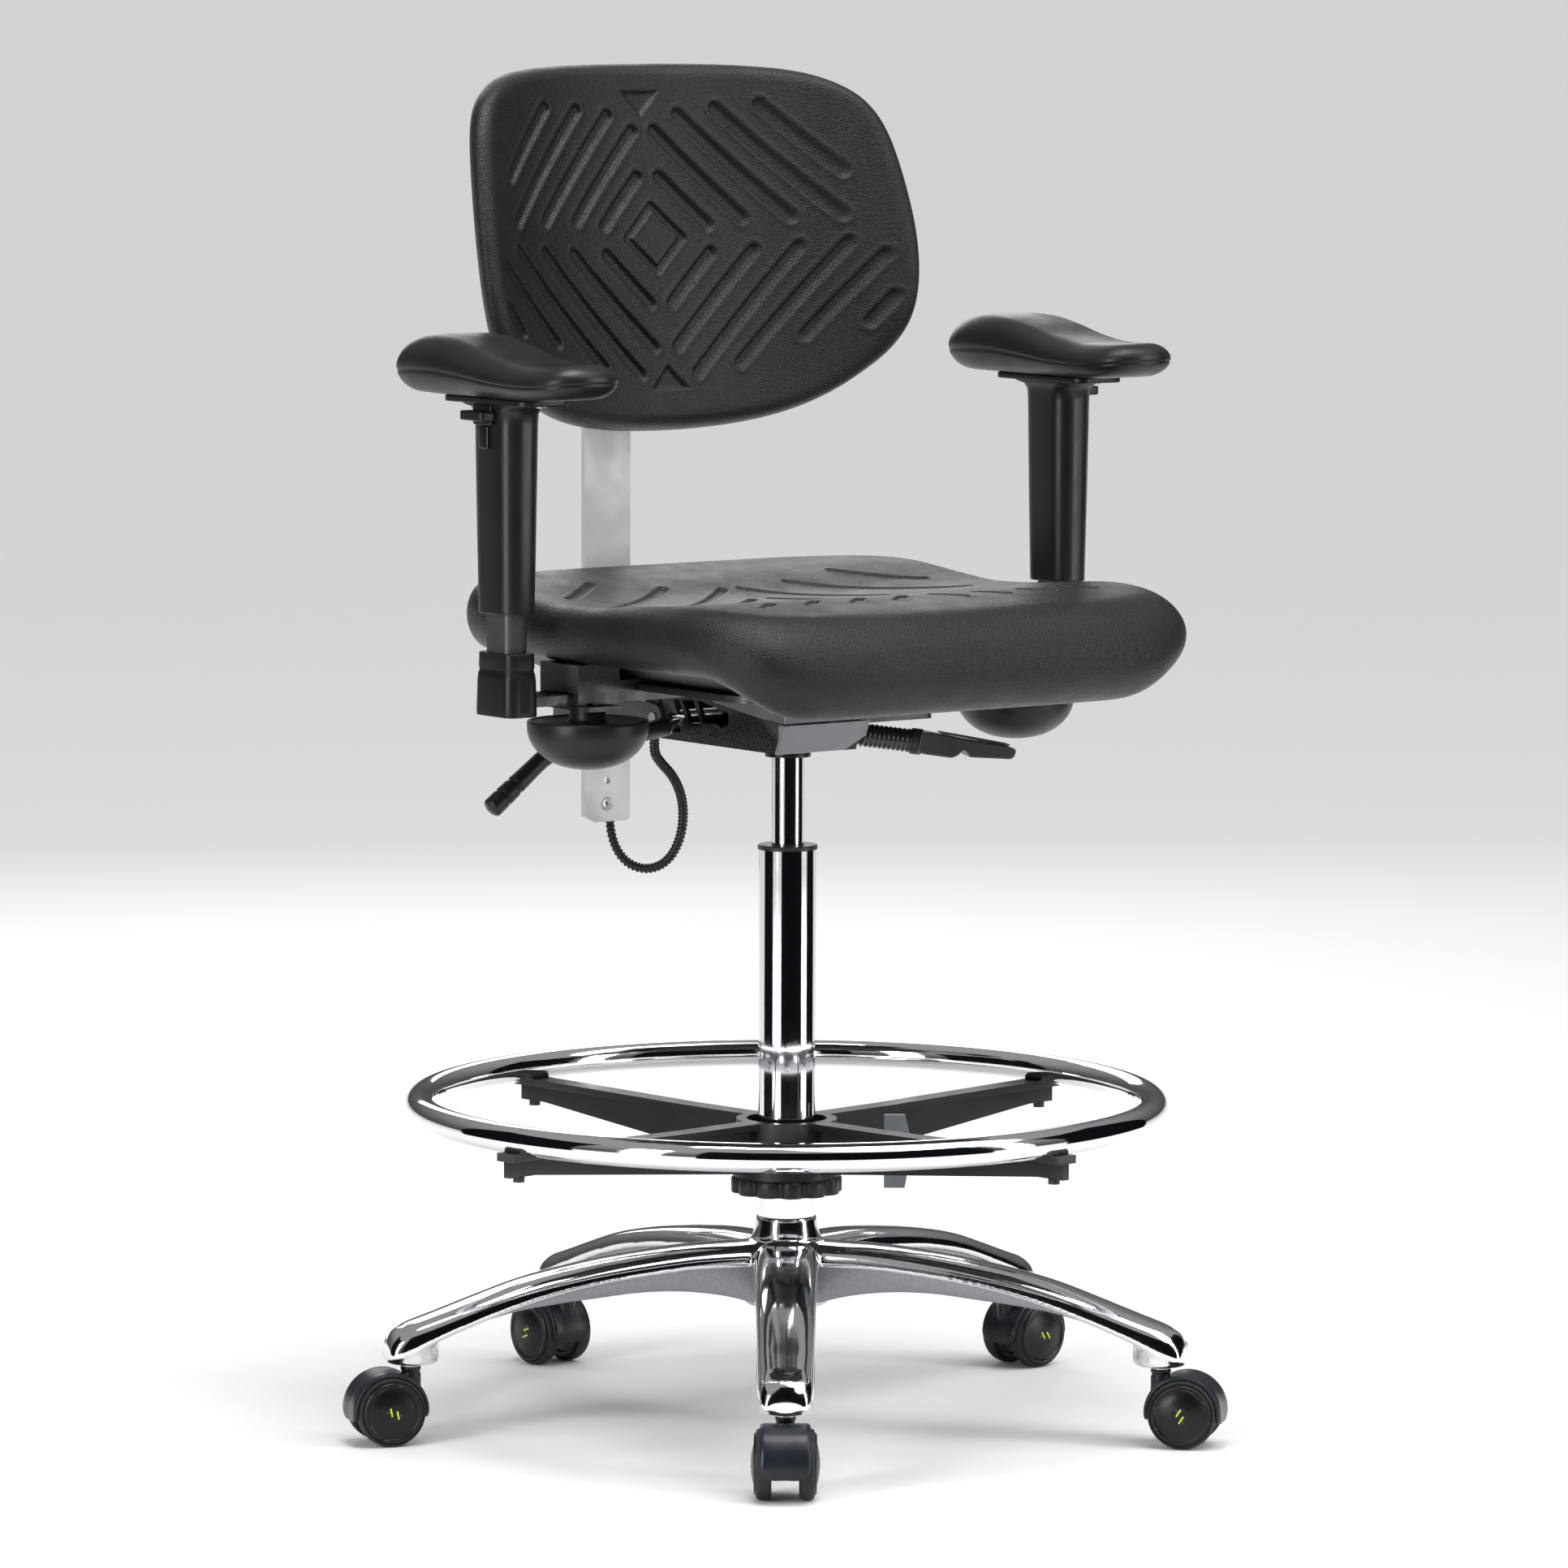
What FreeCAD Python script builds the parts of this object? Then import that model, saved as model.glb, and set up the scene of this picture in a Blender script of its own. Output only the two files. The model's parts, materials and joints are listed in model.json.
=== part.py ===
import FreeCAD, Part
import math
import os
import Sketcher

# Drafting chair: gas-lift swivel chair with a foot ring, on a five-leg base with casters.
# Millimetres. The origin is on the floor under the column axis, +Z is up,
# and the chair faces -Y, so the sitter's left hand is on the +X side.

Vector = FreeCAD.Vector
Rotation = FreeCAD.Rotation
Placement = FreeCAD.Placement
X_AXIS = Vector(1, 0, 0)
Y_AXIS = Vector(0, 1, 0)
Z_AXIS = Vector(0, 0, 1)

SIZES = {
    # star base
    "leg_reach": 340,
    "leg_first_angle": 233.2,
    "leg_root_width": 58,
    "leg_tip_width": 49.5,
    "leg_root_top": 160,
    "leg_mid_reach": 200,
    "leg_mid_top": 148,
    "leg_shoulder_top": 103,
    "leg_edge_root": 135,
    "leg_edge_mid": 114,
    "leg_edge_tip": 82,
    "leg_skin": 5,
    "leg_rib_width": 8,
    "socket_bottom": 71,
    "hub_radius": 36,
    "hub_bottom": 104,
    "hub_top": 167,
    "hub_collar_radius": 26.5,
    "hub_collar_top": 184,
    # column and gas lift
    "column_radius": 25,
    "column_foot_radius": 24.2,
    "column_bore": 21.5,
    "column_top": 504,
    "column_plate": 8,
    "bush_depth": 84,
    "bush_flange": 4,
    "rod_radius": 5,
    "rod_top": 448,
    "gas_radius": 14,
    "gas_tip_radius": 13.4,
    "gas_bottom": 250,
    "gas_shoulder": 600,
    "gas_top": 622,
    "gas_bore": 11,
    "valve_radius": 3,
    "valve_top": 630,
    # casters
    "stem_radius": 5.5,
    "wheel_radius": 30,
    "caster_trail": 22,
    "caster_half_width": 29,
    "hood_radius": 34,
    "hood_thickness": 2.8,
    "hood_width": 42,
    "hood_top": 66,
    "boss_radius": 8.8,
    "axle_radius": 4,
    # foot ring
    "ring_radius": 320,
    "ring_tube": 12.5,
    "ring_wall": 1.5,
    "ring_height": 281,
    "spoke_first_angle": 8.2,
    "spoke_top": 271,
    "spoke_width": 20,
    "spoke_web": 7,
    "spider_radius": 47,
    "spider_bottom": 218,
    "grip_radius": 48.5,
    "grip_bottom": 203,
    "wing_height": 64,
    "wing_depth": 22,
    "wing_thickness": 8,
    "wing_reach": 96,
    # mechanism
    "mech_bottom": 592,
    "mech_half_width": 42,
    "mech_wall": 4,
    "mech_front": 48,
    "mech_rear": 166,
    "nose_half_width": 46,
    "seat_pivot_back": 42,
    "seat_pivot_height": 642,
    "back_pivot_back": 134,
    "back_pivot_height": 610,
    "pin_radius": 5,
    "running_gap": 0.05,
    "lever_sweep": 22,
    "lever_slope": 8,
    # seat
    "carrier_top": 654,
    "plate_thickness": 6,
    "plate_half_width": 180,
    "cushion_half_width": 245,
    "cushion_front": 278,
    "cushion_back": 182,
    "cushion_top": 736,
    "cushion_side_bottom": 679,
    "cushion_corner": 62,
    # arms
    "arm_spread": 297.5,
    "rail_half_depth": 20,
    "rail_bottom": 644.6,
    "rail_top": 653.4,
    "upright_width": 22,
    "upright_depth": 40,
    "upright_wall": 2.5,
    "upright_top": 850,
    "sleeve_bottom": 724,
    "sleeve_top": 902,
    "pad_bottom": 907,
    "pad_width": 90,
    "pad_length": 252,
    "knob_offset": 231,
    "knob_radius": 52,
    "knob_forward": 25,
    # back
    "bar_half_width": 25,
    "bar_back": 272,
    "bar_thickness": 5,
    "bar_bottom": 503,
    "bar_top": 1062,
    "bar_hole_low": 519,
    "bar_hole_pitch": 21,
    "bar_hole_radius": 3.6,
    "back_lean": 10.8,
    "back_centre_height": 1021,
    "back_front_face": 198,
    "back_half_width": 226,
    "back_half_height": 158,
    # control cable
    "cable_diameter": 9,
}

LEG_COUNT = 5
CASTER_NAMES = ["front", "front_right", "back_right", "back_left", "front_left"]
CASTER_TURNS = [0, 5, -11, 4, 0]
SPOKE_COUNT = 4
SIDES = {"left": 1, "right": -1}

CABLE_ROUTE = [
    (-34, 150, 592),
    (-30, 158, 577),
    (-17, 165, 566),
    (2, 173, 553),
    (18, 182, 535),
    (29, 193, 514),
    (34, 205, 491),
    (33, 220, 471),
    (27, 238, 461),
    (19, 256, 462),
    (14, 271, 472),
    (12, 281, 490),
    (13, 284.2, 512),
    (14, 282.5, 536),
    (14, 282.5, 558),
]


class Size:
    """A length that carries its spreadsheet expression beside its present value."""

    def __init__(self, text, value):
        self.text = text
        self.value = value

    def _join(self, sign, other, swapped, value):
        other_text = other.text if isinstance(other, Size) else repr(float(other))
        first, second = (other_text, self.text) if swapped else (self.text, other_text)
        return Size("(" + first + " " + sign + " " + second + ")", value)

    def __add__(self, other):
        return self._join("+", other, False, self.value + number(other))

    def __radd__(self, other):
        return self._join("+", other, True, number(other) + self.value)

    def __sub__(self, other):
        return self._join("-", other, False, self.value - number(other))

    def __rsub__(self, other):
        return self._join("-", other, True, number(other) - self.value)

    def __mul__(self, other):
        return self._join("*", other, False, self.value * number(other))

    def __rmul__(self, other):
        return self._join("*", other, True, number(other) * self.value)

    def __truediv__(self, other):
        return self._join("/", other, False, self.value / number(other))

    def __neg__(self):
        return 0 - self


def number(value):
    """The plain number behind a Size, or the number itself."""
    return value.value if isinstance(value, Size) else float(value)


class Sheet:
    """The spreadsheet of driving dimensions. An attribute is the Size of that name."""

    def __init__(self, document, sizes):
        self.sizes = sizes
        sheet = document.addObject("Spreadsheet::Sheet", "Sizes")
        for row, (alias, value) in enumerate(sizes.items(), start=1):
            sheet.set(f"A{row}", alias)
            sheet.set(f"B{row}", str(value))
            sheet.setAlias(f"B{row}", alias)

    def __getattr__(self, alias):
        return Size("Sizes." + alias, float(self.sizes[alias]))


doc = FreeCAD.newDocument("DraftingChair")
dim = Sheet(doc, SIZES)
doc.recompute()


# ---------------------------------------------------------------- building helpers


def bind(obj, prop, value):
    """Gives a property its value, bound to the sheet when the value is a Size."""
    setattr(obj, prop, number(value))
    if isinstance(value, Size):
        obj.setExpression(prop, value.text)


def origin_plane(body, role):
    return next(f for f in body.Origin.OriginFeatures if f.Role == role)


def new_body(label):
    body = doc.addObject("PartDesign::Body", label)
    body.Label = label
    return body


def new_sketch(body, role, shift=0):
    """An empty sketch on one of the body's own origin planes, moved along its normal."""
    sketch = body.newObject("Sketcher::SketchObject", body.Name + "_sketch")
    sketch.AttachmentSupport = [(origin_plane(body, role), "")]
    sketch.MapMode = "FlatFace"
    sketch.AttachmentOffset = Placement(Vector(0, 0, number(shift)), Rotation())
    if isinstance(shift, Size):
        sketch.setExpression(".AttachmentOffset.Base.z", shift.text)
    return sketch


def pin_point(sketch, shape, end, x, y):
    """Holds one point of a sketch at its distances from the sketch's origin."""
    for kind, value in (("DistanceX", x), ("DistanceY", y)):
        index = sketch.addConstraint(
            Sketcher.Constraint(kind, -1, 1, shape, end, number(value))
        )
        if isinstance(value, Size):
            sketch.setExpression(f"Constraints[{index}]", value.text)


def draw_outline(sketch, points):
    """Closed outline. A point is (x, y), or (x, y, via x, via y) to reach it by an arc."""
    count = len(points)
    plain = [[number(v) for v in point] for point in points]
    edges = []
    for index in range(count):
        start = Vector(plain[index - 1][0], plain[index - 1][1], 0)
        end = Vector(plain[index][0], plain[index][1], 0)
        if len(plain[index]) == 2:
            edges.append((sketch.addGeometry(Part.LineSegment(start, end)), 1, 2))
            continue
        via = Vector(plain[index][2], plain[index][3], 0)
        turn = (via - start).cross(end - via).z
        arc = sketch.addGeometry(Part.Arc(start, via, end))
        first, last = (1, 2) if turn > 0 else (2, 1)
        edges.append((arc, first, last))
        mark = sketch.addGeometry(Part.Point(via), True)
        pin_point(sketch, mark, 1, points[index][2], points[index][3])
        sketch.addConstraint(Sketcher.Constraint("PointOnObject", mark, 1, arc))
    for index in range(count):
        edge, first, last = edges[index]
        following, following_first, _ = edges[(index + 1) % count]
        sketch.addConstraint(
            Sketcher.Constraint("Coincident", edge, last, following, following_first)
        )
        pin_point(sketch, edge, last, points[index][0], points[index][1])


def draw_circle(sketch, x, y, radius):
    circle = sketch.addGeometry(
        Part.Circle(Vector(number(x), number(y), 0), Z_AXIS, number(radius))
    )
    pin_point(sketch, circle, 3, x, y)
    index = sketch.addConstraint(Sketcher.Constraint("Radius", circle, number(radius)))
    if isinstance(radius, Size):
        sketch.setExpression(f"Constraints[{index}]", radius.text)


def pad(body, sketch, length, symmetric=False):
    feature = body.newObject("PartDesign::Pad", body.Name + "_pad")
    feature.Profile = sketch
    bind(feature, "Length", length)
    feature.Midplane = symmetric
    return feature


def pocket(body, sketch, length, symmetric=True, upwards=False):
    """Cuts the sketch out of the body. The caller sees to it that some volume goes."""
    doc.recompute()
    before = body.Shape.Volume
    feature = body.newObject("PartDesign::Pocket", body.Name + "_pocket")
    feature.Profile = sketch
    bind(feature, "Length", length)
    feature.Midplane = symmetric
    feature.Reversed = upwards
    doc.recompute()
    if body.Shape.Volume > before - 0.1:
        raise ValueError(body.Label + " has a pocket that cuts nothing")
    return feature


def revolve(body, sketch):
    feature = body.newObject("PartDesign::Revolution", body.Name + "_turn")
    feature.Profile = sketch
    feature.ReferenceAxis = (sketch, ["V_Axis"])
    feature.Angle = 360
    return feature


def round_edges(body, radius, chosen):
    """Fillets the edges of the body's last feature that the test picks out."""
    doc.recompute()
    base = body.Tip
    names = [
        f"Edge{index}"
        for index, edge in enumerate(base.Shape.Edges, start=1)
        if chosen(edge)
    ]
    fillet = body.newObject("PartDesign::Fillet", body.Name + "_round")
    fillet.Base = (base, names)
    bind(fillet, "Radius", radius)
    doc.recompute()
    return fillet


def runs_along(edge, axis):
    """True for a straight edge parallel to the axis."""
    if edge.Curve.TypeId != "Part::GeomLine":
        return False
    return abs(abs(edge.Curve.Direction.dot(axis)) - 1) < 1e-6


def turned(label, outline):
    """A body of revolution about Z. The outline holds (radius, height) points."""
    body = new_body(label)
    sketch = new_sketch(body, "XZ_Plane")
    draw_outline(sketch, outline)
    revolve(body, sketch)
    return body


def prism(label, role, outline, length, shift=0, symmetric=False):
    """A body padded from one outline."""
    body = new_body(label)
    sketch = new_sketch(body, role, shift)
    draw_outline(sketch, outline)
    pad(body, sketch, length, symmetric)
    return body


def cut_outline(body, role, outline, length, shift=0, symmetric=True, upwards=False):
    sketch = new_sketch(body, role, shift)
    draw_outline(sketch, outline)
    return pocket(body, sketch, length, symmetric, upwards)


def add_outline(body, role, outline, length, shift=0, symmetric=True):
    sketch = new_sketch(body, role, shift)
    draw_outline(sketch, outline)
    return pad(body, sketch, length, symmetric)


def rectangle(left, right, low, high):
    return [(left, low), (right, low), (right, high), (left, high)]


def box(name, left, right, front, back, low, high):
    """A Part box between its six faces."""
    shape = doc.addObject("Part::Box", name)
    bind(shape, "Length", right - left)
    bind(shape, "Width", back - front)
    bind(shape, "Height", high - low)
    shape.Placement.Base = Vector(number(left), number(front), number(low))
    return shape


def rod(name, radius, start, end):
    """A Part cylinder between two points. The radius may be a Size."""
    start = Vector(*[number(v) for v in start])
    end = Vector(*[number(v) for v in end])
    shape = doc.addObject("Part::Cylinder", name)
    bind(shape, "Radius", radius)
    shape.Height = (end - start).Length
    shape.Placement = Placement(start, Rotation(Z_AXIS, end - start))
    return shape


def ball(name, radius, centre):
    shape = doc.addObject("Part::Sphere", name)
    bind(shape, "Radius", radius)
    shape.Placement.Base = Vector(*[number(v) for v in centre])
    return shape


def fuse(label, shapes):
    result = doc.addObject("Part::MultiFuse", label)
    result.Shapes = shapes
    result.Label = label
    return result


def group(label, shapes):
    """Separate solids of one kind, kept as one sub-part."""
    result = doc.addObject("Part::Compound", label)
    result.Links = shapes
    result.Label = label
    return result


def cut(label, base, tools):
    result = doc.addObject("Part::Cut", label)
    result.Base = base
    result.Tool = tools[0] if len(tools) == 1 else fuse(label + "_tools", tools)
    result.Label = label
    return result


def place(shape, x=0, y=0, z=0, axis=Z_AXIS, degrees=0):
    base = Vector(number(x), number(y), number(z))
    shape.Placement = Placement(base, Rotation(axis, degrees))
    return shape


def place_about(shape, pivot, degrees):
    """Moves a box made about the origin to a pivot, turned about the pivot's upright."""
    turn = Rotation(Z_AXIS, degrees)
    shape.Placement = Placement(pivot + turn.multVec(shape.Placement.Base), turn)
    return shape


def polar(radius, degrees):
    """The x and y of a point at that radius and direction from the column axis."""
    angle = math.radians(degrees)
    return number(radius) * math.cos(angle), number(radius) * math.sin(angle)


def leg_direction(index):
    return dim.leg_first_angle.value + index * 360 / LEG_COUNT


def spoke_direction(index):
    return dim.spoke_first_angle.value + index * 360 / SPOKE_COUNT


# ---------------------------------------------------------------- star base and column


def leg_blank(index):
    """One leg: a hollow skin with a rib under it and a solid caster socket at its end."""
    half_root = dim.leg_root_width / 2
    half_tip = dim.leg_tip_width / 2
    root = 20
    reach = dim.leg_reach
    end = reach + half_tip
    mid = dim.leg_mid_reach
    plan = [
        (root, -half_root),
        (reach, -half_tip),
        (reach, half_tip, end, 0),
        (root, half_root),
    ]
    leg = prism(f"leg_{index}", "XY_Plane", plan, 95, dim.socket_bottom)
    above = [
        (root - 10, dim.leg_root_top),
        (reach + 11, dim.leg_shoulder_top, mid, dim.leg_mid_top),
        (end + 2, dim.socket_bottom + 12, reach + 21, dim.leg_shoulder_top - 8),
        (reach + 50, dim.socket_bottom + 12),
        (reach + 50, 190),
        (root - 10, 190),
    ]
    cut_outline(leg, "XZ_Plane", above, 90)
    inner = reach - half_tip
    below = [
        (root - 10, 50),
        (inner, 50),
        (inner, dim.leg_edge_tip),
        (inner - 14, dim.leg_edge_tip + 3),
        (root - 10, dim.leg_edge_root, mid, dim.leg_edge_mid),
    ]
    cut_outline(leg, "XZ_Plane", below, 90)
    skin = dim.leg_skin
    hollow = [
        (root - 10, 60),
        (inner - 8, 60),
        (inner - 8, dim.leg_shoulder_top),
        (root - 10, dim.leg_root_top - skin, mid, dim.leg_mid_top - skin),
    ]
    cut_outline(leg, "XZ_Plane", hollow, dim.leg_tip_width - 2 * skin)
    rib = [
        (root, dim.hub_bottom),
        (inner - 6, dim.leg_edge_tip + 2, mid - 40, dim.leg_edge_mid + 5),
        (inner - 6, dim.leg_shoulder_top + 4),
        (root, dim.leg_root_top - 3, mid, dim.leg_mid_top - 3),
    ]
    add_outline(leg, "XZ_Plane", rib, dim.leg_rib_width)
    place(leg, degrees=leg_direction(index))
    return leg


def make_star_base():
    hub = turned(
        "hub_blank",
        [
            (0, dim.hub_bottom),
            (dim.hub_radius, dim.hub_bottom),
            (dim.hub_radius, dim.hub_top - 8),
            (dim.hub_collar_radius, dim.hub_top),
            (dim.hub_collar_radius, dim.hub_collar_top),
            (0, dim.hub_collar_top),
        ],
    )
    legs = [leg_blank(index) for index in range(LEG_COUNT)]
    bore = turned(
        "hub_bore",
        [
            (0, 60),
            (dim.column_foot_radius, 60),
            (dim.column_foot_radius, dim.hub_bottom),
            (dim.column_radius, dim.hub_collar_top),
            (0, dim.hub_collar_top),
        ],
    )
    sockets = []
    for index in range(LEG_COUNT):
        x, y = polar(dim.leg_reach, leg_direction(index))
        sockets.append(rod("socket_bore", dim.stem_radius, (x, y, 60), (x, y, 98)))
    return cut("star_base", fuse("base_blank", [hub] + legs), [bore] + sockets)


def make_column_tube():
    floor = dim.hub_bottom
    plate = dim.hub_bottom + dim.column_plate
    return turned(
        "column_tube",
        [
            (9, floor),
            (dim.column_foot_radius, floor),
            (dim.column_radius, dim.hub_collar_top),
            (dim.column_radius, dim.column_top),
            (dim.column_bore, dim.column_top),
            (dim.column_bore, plate),
            (9, plate),
        ],
    )


def make_column_bush():
    inner = dim.gas_radius + dim.running_gap
    flange = dim.column_top + dim.bush_flange
    return turned(
        "column_bush",
        [
            (inner, dim.column_top - dim.bush_depth),
            (dim.column_bore, dim.column_top - dim.bush_depth),
            (dim.column_bore, dim.column_top),
            (dim.column_radius + 1, dim.column_top),
            (dim.column_radius + 1, flange - 1),
            (dim.column_radius, flange),
            (inner, flange),
        ],
    )


def make_thrust_bearing():
    plate = dim.hub_bottom + dim.column_plate
    return turned("thrust_bearing", rectangle(5.4, 14, plate, plate + 3))


def make_caster_stems():
    """Five identical stems, each with a shoulder under the leg's socket."""
    stems = []
    for index in range(LEG_COUNT):
        stem = turned(
            f"stem_{index}",
            [
                (0, 42),
                (dim.stem_radius, 42),
                (dim.stem_radius, dim.hood_top + 0.4),
                (8, dim.hood_top + 0.4),
                (8, dim.socket_bottom),
                (dim.stem_radius, dim.socket_bottom),
                (dim.stem_radius, 96),
                (0, 98),
            ],
        )
        x, y = polar(dim.leg_reach, leg_direction(index))
        stems.append(place(stem, x, y))
    return group("caster_stems", stems)


def make_piston_rod():
    """The rod hangs from the bearing and carries the piston inside the gas cylinder."""
    bearing_top = dim.hub_bottom + dim.column_plate + 3
    return turned(
        "piston_rod",
        [
            (0, 97),
            (11, 97),
            (11, 100.5),
            (dim.rod_radius, 100.5),
            (dim.rod_radius, bearing_top + 0.3),
            (12, bearing_top + 0.3),
            (12, bearing_top + 6),
            (dim.rod_radius, bearing_top + 6),
            (dim.rod_radius, dim.rod_top - 12),
            (dim.gas_bore - dim.running_gap, dim.rod_top - 12),
            (dim.gas_bore - dim.running_gap, dim.rod_top),
            (0, dim.rod_top),
        ],
    )


def make_gas_cylinder():
    gland = dim.rod_radius + dim.running_gap
    valve_bore = dim.valve_radius + dim.running_gap
    return turned(
        "gas_cylinder",
        [
            (gland, dim.gas_bottom),
            (dim.gas_radius, dim.gas_bottom),
            (dim.gas_radius, dim.gas_shoulder),
            (dim.gas_tip_radius, dim.gas_top),
            (valve_bore, dim.gas_top),
            (valve_bore, dim.gas_shoulder),
            (dim.gas_bore, dim.gas_shoulder),
            (dim.gas_bore, dim.gas_bottom + 12),
            (gland, dim.gas_bottom + 12),
        ],
    )


def make_valve_pin():
    return turned(
        "valve_pin",
        rectangle(0, dim.valve_radius, dim.gas_shoulder + 4, dim.valve_top),
    )


# ---------------------------------------------------------------- casters


def caster_place(shape, index):
    """Moves a piece made about its own stem axis, trailing along +X, to its leg."""
    x, y = polar(dim.leg_reach, leg_direction(index))
    return place(shape, x, y, degrees=leg_direction(index) + CASTER_TURNS[index])


def arc_points(centre_x, centre_z, radius, start, end):
    """Start point, then an arc point with its via point, on a circle. Degrees."""
    points = []
    for angle in (start, (start + end) / 2, end):
        turn = math.radians(angle)
        x = centre_x + radius * math.cos(turn)
        z = centre_z + radius * math.sin(turn)
        points.append((x, z))
    return points


def make_caster_hood(index):
    """Band over the wheels, a web between them, the stem's boss and the pressed axle."""
    name = CASTER_NAMES[index] + "_caster_hood"
    trail = dim.caster_trail
    wheel = dim.wheel_radius
    outer = arc_points(trail, wheel, dim.hood_radius, -14, 192)
    inner = arc_points(trail, wheel, dim.hood_radius - dim.hood_thickness, 192, -14)
    band = [outer[0], outer[2] + outer[1], inner[0], inner[2] + inner[1]]
    web = arc_points(trail, wheel, dim.hood_radius - 1, -10, 188)
    low = arc_points(trail, wheel, 24, 188, 350)
    blank = prism(name + "_blank", "XZ_Plane", band, dim.hood_width, symmetric=True)
    web_outline = [web[0], web[2] + web[1], low[0], low[2] + low[1]]
    add_outline(blank, "XZ_Plane", web_outline, 12)
    doc.recompute()
    boss = rod(name + "_boss", dim.boss_radius, (0, 0, 24), (0, 0, dim.hood_top))
    bore_radius = dim.stem_radius + dim.running_gap
    bore = rod(name + "_bore", bore_radius, (0, 0, 41.5), (0, 0, dim.hood_top + 4))
    axle_bore = rod(
        name + "_axle_bore", dim.axle_radius, (trail, -10, wheel), (trail, 10, wheel)
    )
    hood = cut(name + "_shell", fuse(name + "_body", [blank, boss]), [bore, axle_bore])
    reach = dim.caster_half_width - 5.5
    axle = rod(
        name + "_axle", dim.axle_radius, (trail, -reach, wheel), (trail, reach, wheel)
    )
    return caster_place(group(name, [hood, axle]), index)


def make_caster_wheel(index, hand):
    """Tread and domed disc in one, running on one end of the axle."""
    side = 1 if hand == "left" else -1
    width = dim.caster_half_width
    bore = dim.axle_radius + dim.running_gap
    blank = turned(
        f"wheel_blank_{index}_{hand}",
        [
            (0, width - 4.5),
            (bore, width - 4.5),
            (bore, 6.5),
            (9, 6.5),
            (9, 12.5),
            (dim.wheel_radius - 1.5, 12.5),
            (dim.wheel_radius, 14),
            (dim.wheel_radius, width - 6),
            (dim.wheel_radius - 2.5, width - 4),
            (dim.wheel_radius - 8, width - 2),
            (dim.wheel_radius - 18, width - 0.5),
            (0, width),
        ],
    )
    turn = Rotation(X_AXIS, -90 * side)
    blank.Placement = Placement(
        Vector(dim.caster_trail.value, 0, dim.wheel_radius.value), turn
    )
    return caster_place(
        group(f"{CASTER_NAMES[index]}_caster_wheel_{hand}", [blank]), index
    )


# ---------------------------------------------------------------- foot ring


def ring_screw_shanks():
    shanks = []
    for index in range(SPOKE_COUNT):
        x, y = polar(dim.ring_radius, spoke_direction(index))
        shanks.append(rod("ring_shank", 2.5, (x, y, 246), (x, y, 282)))
    return shanks


def ring_torus(name, tube_radius):
    torus = doc.addObject("Part::Torus", name)
    bind(torus, "Radius1", dim.ring_radius)
    bind(torus, "Radius2", tube_radius)
    torus.Placement.Base = Vector(0, 0, dim.ring_height.value)
    return torus


def make_foot_ring():
    """Bent tube with a screw hole over the end of each spoke."""
    outer = ring_torus("ring_outside", dim.ring_tube)
    inner = ring_torus("ring_inside", dim.ring_tube - dim.ring_wall)
    return cut("foot_ring", outer, [inner] + ring_screw_shanks())


def spoke_blank(index):
    """A T-shaped spoke: a flange on top and a web that deepens towards the hub."""
    top = dim.spoke_top
    end = dim.ring_radius + 16
    flange = prism(
        f"spoke_{index}",
        "XZ_Plane",
        [(34, top - 9), (120, top - 8), (end, top - 7), (end, top), (120, top - 3), (34, top - 3)],
        dim.spoke_width,
        symmetric=True,
    )
    web = [
        (34, dim.spider_bottom + 4),
        (dim.ring_radius - 16, top - 21),
        (end - 2, top - 21),
        (end - 2, top - 2),
        (34, top - 6),
    ]
    add_outline(flange, "XZ_Plane", web, dim.spoke_web)
    place(flange, degrees=spoke_direction(index))
    return flange


def make_ring_spider():
    bore = dim.column_radius + dim.running_gap
    skirt = dim.grip_radius - 17.5
    top = dim.spoke_top - 3
    hub = turned(
        "spider_hub",
        [
            (bore, dim.grip_bottom + 3),
            (skirt - dim.running_gap, dim.grip_bottom + 3),
            (skirt - dim.running_gap, dim.spider_bottom),
            (dim.spider_radius, dim.spider_bottom),
            (dim.spider_radius - 3, top),
            (dim.spider_radius - 12, top),
            (dim.spider_radius - 12, top - 12),
            (bore, top - 12),
        ],
    )
    spokes = [spoke_blank(index) for index in range(SPOKE_COUNT)]
    saddle = ring_torus("saddle_torus", dim.ring_tube)
    wing_x, wing_y = polar(1, wing_direction())
    height = wing_height()
    clear = rod(
        "wing_bore",
        4 + dim.running_gap,
        (wing_x * 30, wing_y * 30, height),
        (wing_x * 60, wing_y * 60, height),
    )
    tools = [saddle, clear] + ring_screw_shanks()
    return cut("ring_spider", fuse("spider_blank", [hub] + spokes), tools)


def make_ring_screws():
    screws = []
    for index, shank in enumerate(ring_screw_shanks()):
        x, y = polar(dim.ring_radius, spoke_direction(index))
        head = rod("ring_head", 5, (x, y, 245.5), (x, y, dim.spoke_top - 21))
        screws.append(fuse(f"ring_screw_{index}", [shank, head]))
    return group("ring_screws", screws)


def make_ring_grip():
    """Scalloped nut under the spider that tightens its collet on the column."""
    skirt = dim.grip_radius - 17.5
    blank = turned(
        "grip_blank",
        rectangle(skirt, dim.grip_radius, dim.grip_bottom, dim.spider_bottom - 0.5),
    )
    scallops = []
    for index in range(12):
        x, y = polar(dim.grip_radius + 7, index * 30 + 15)
        scallops.append(rod("scallop", 9, (x, y, 195), (x, y, 225)))
    return cut("ring_grip", blank, scallops)


def wing_direction():
    return spoke_direction(3) + 45


def wing_height():
    return dim.spider_bottom.value + 21


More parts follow.
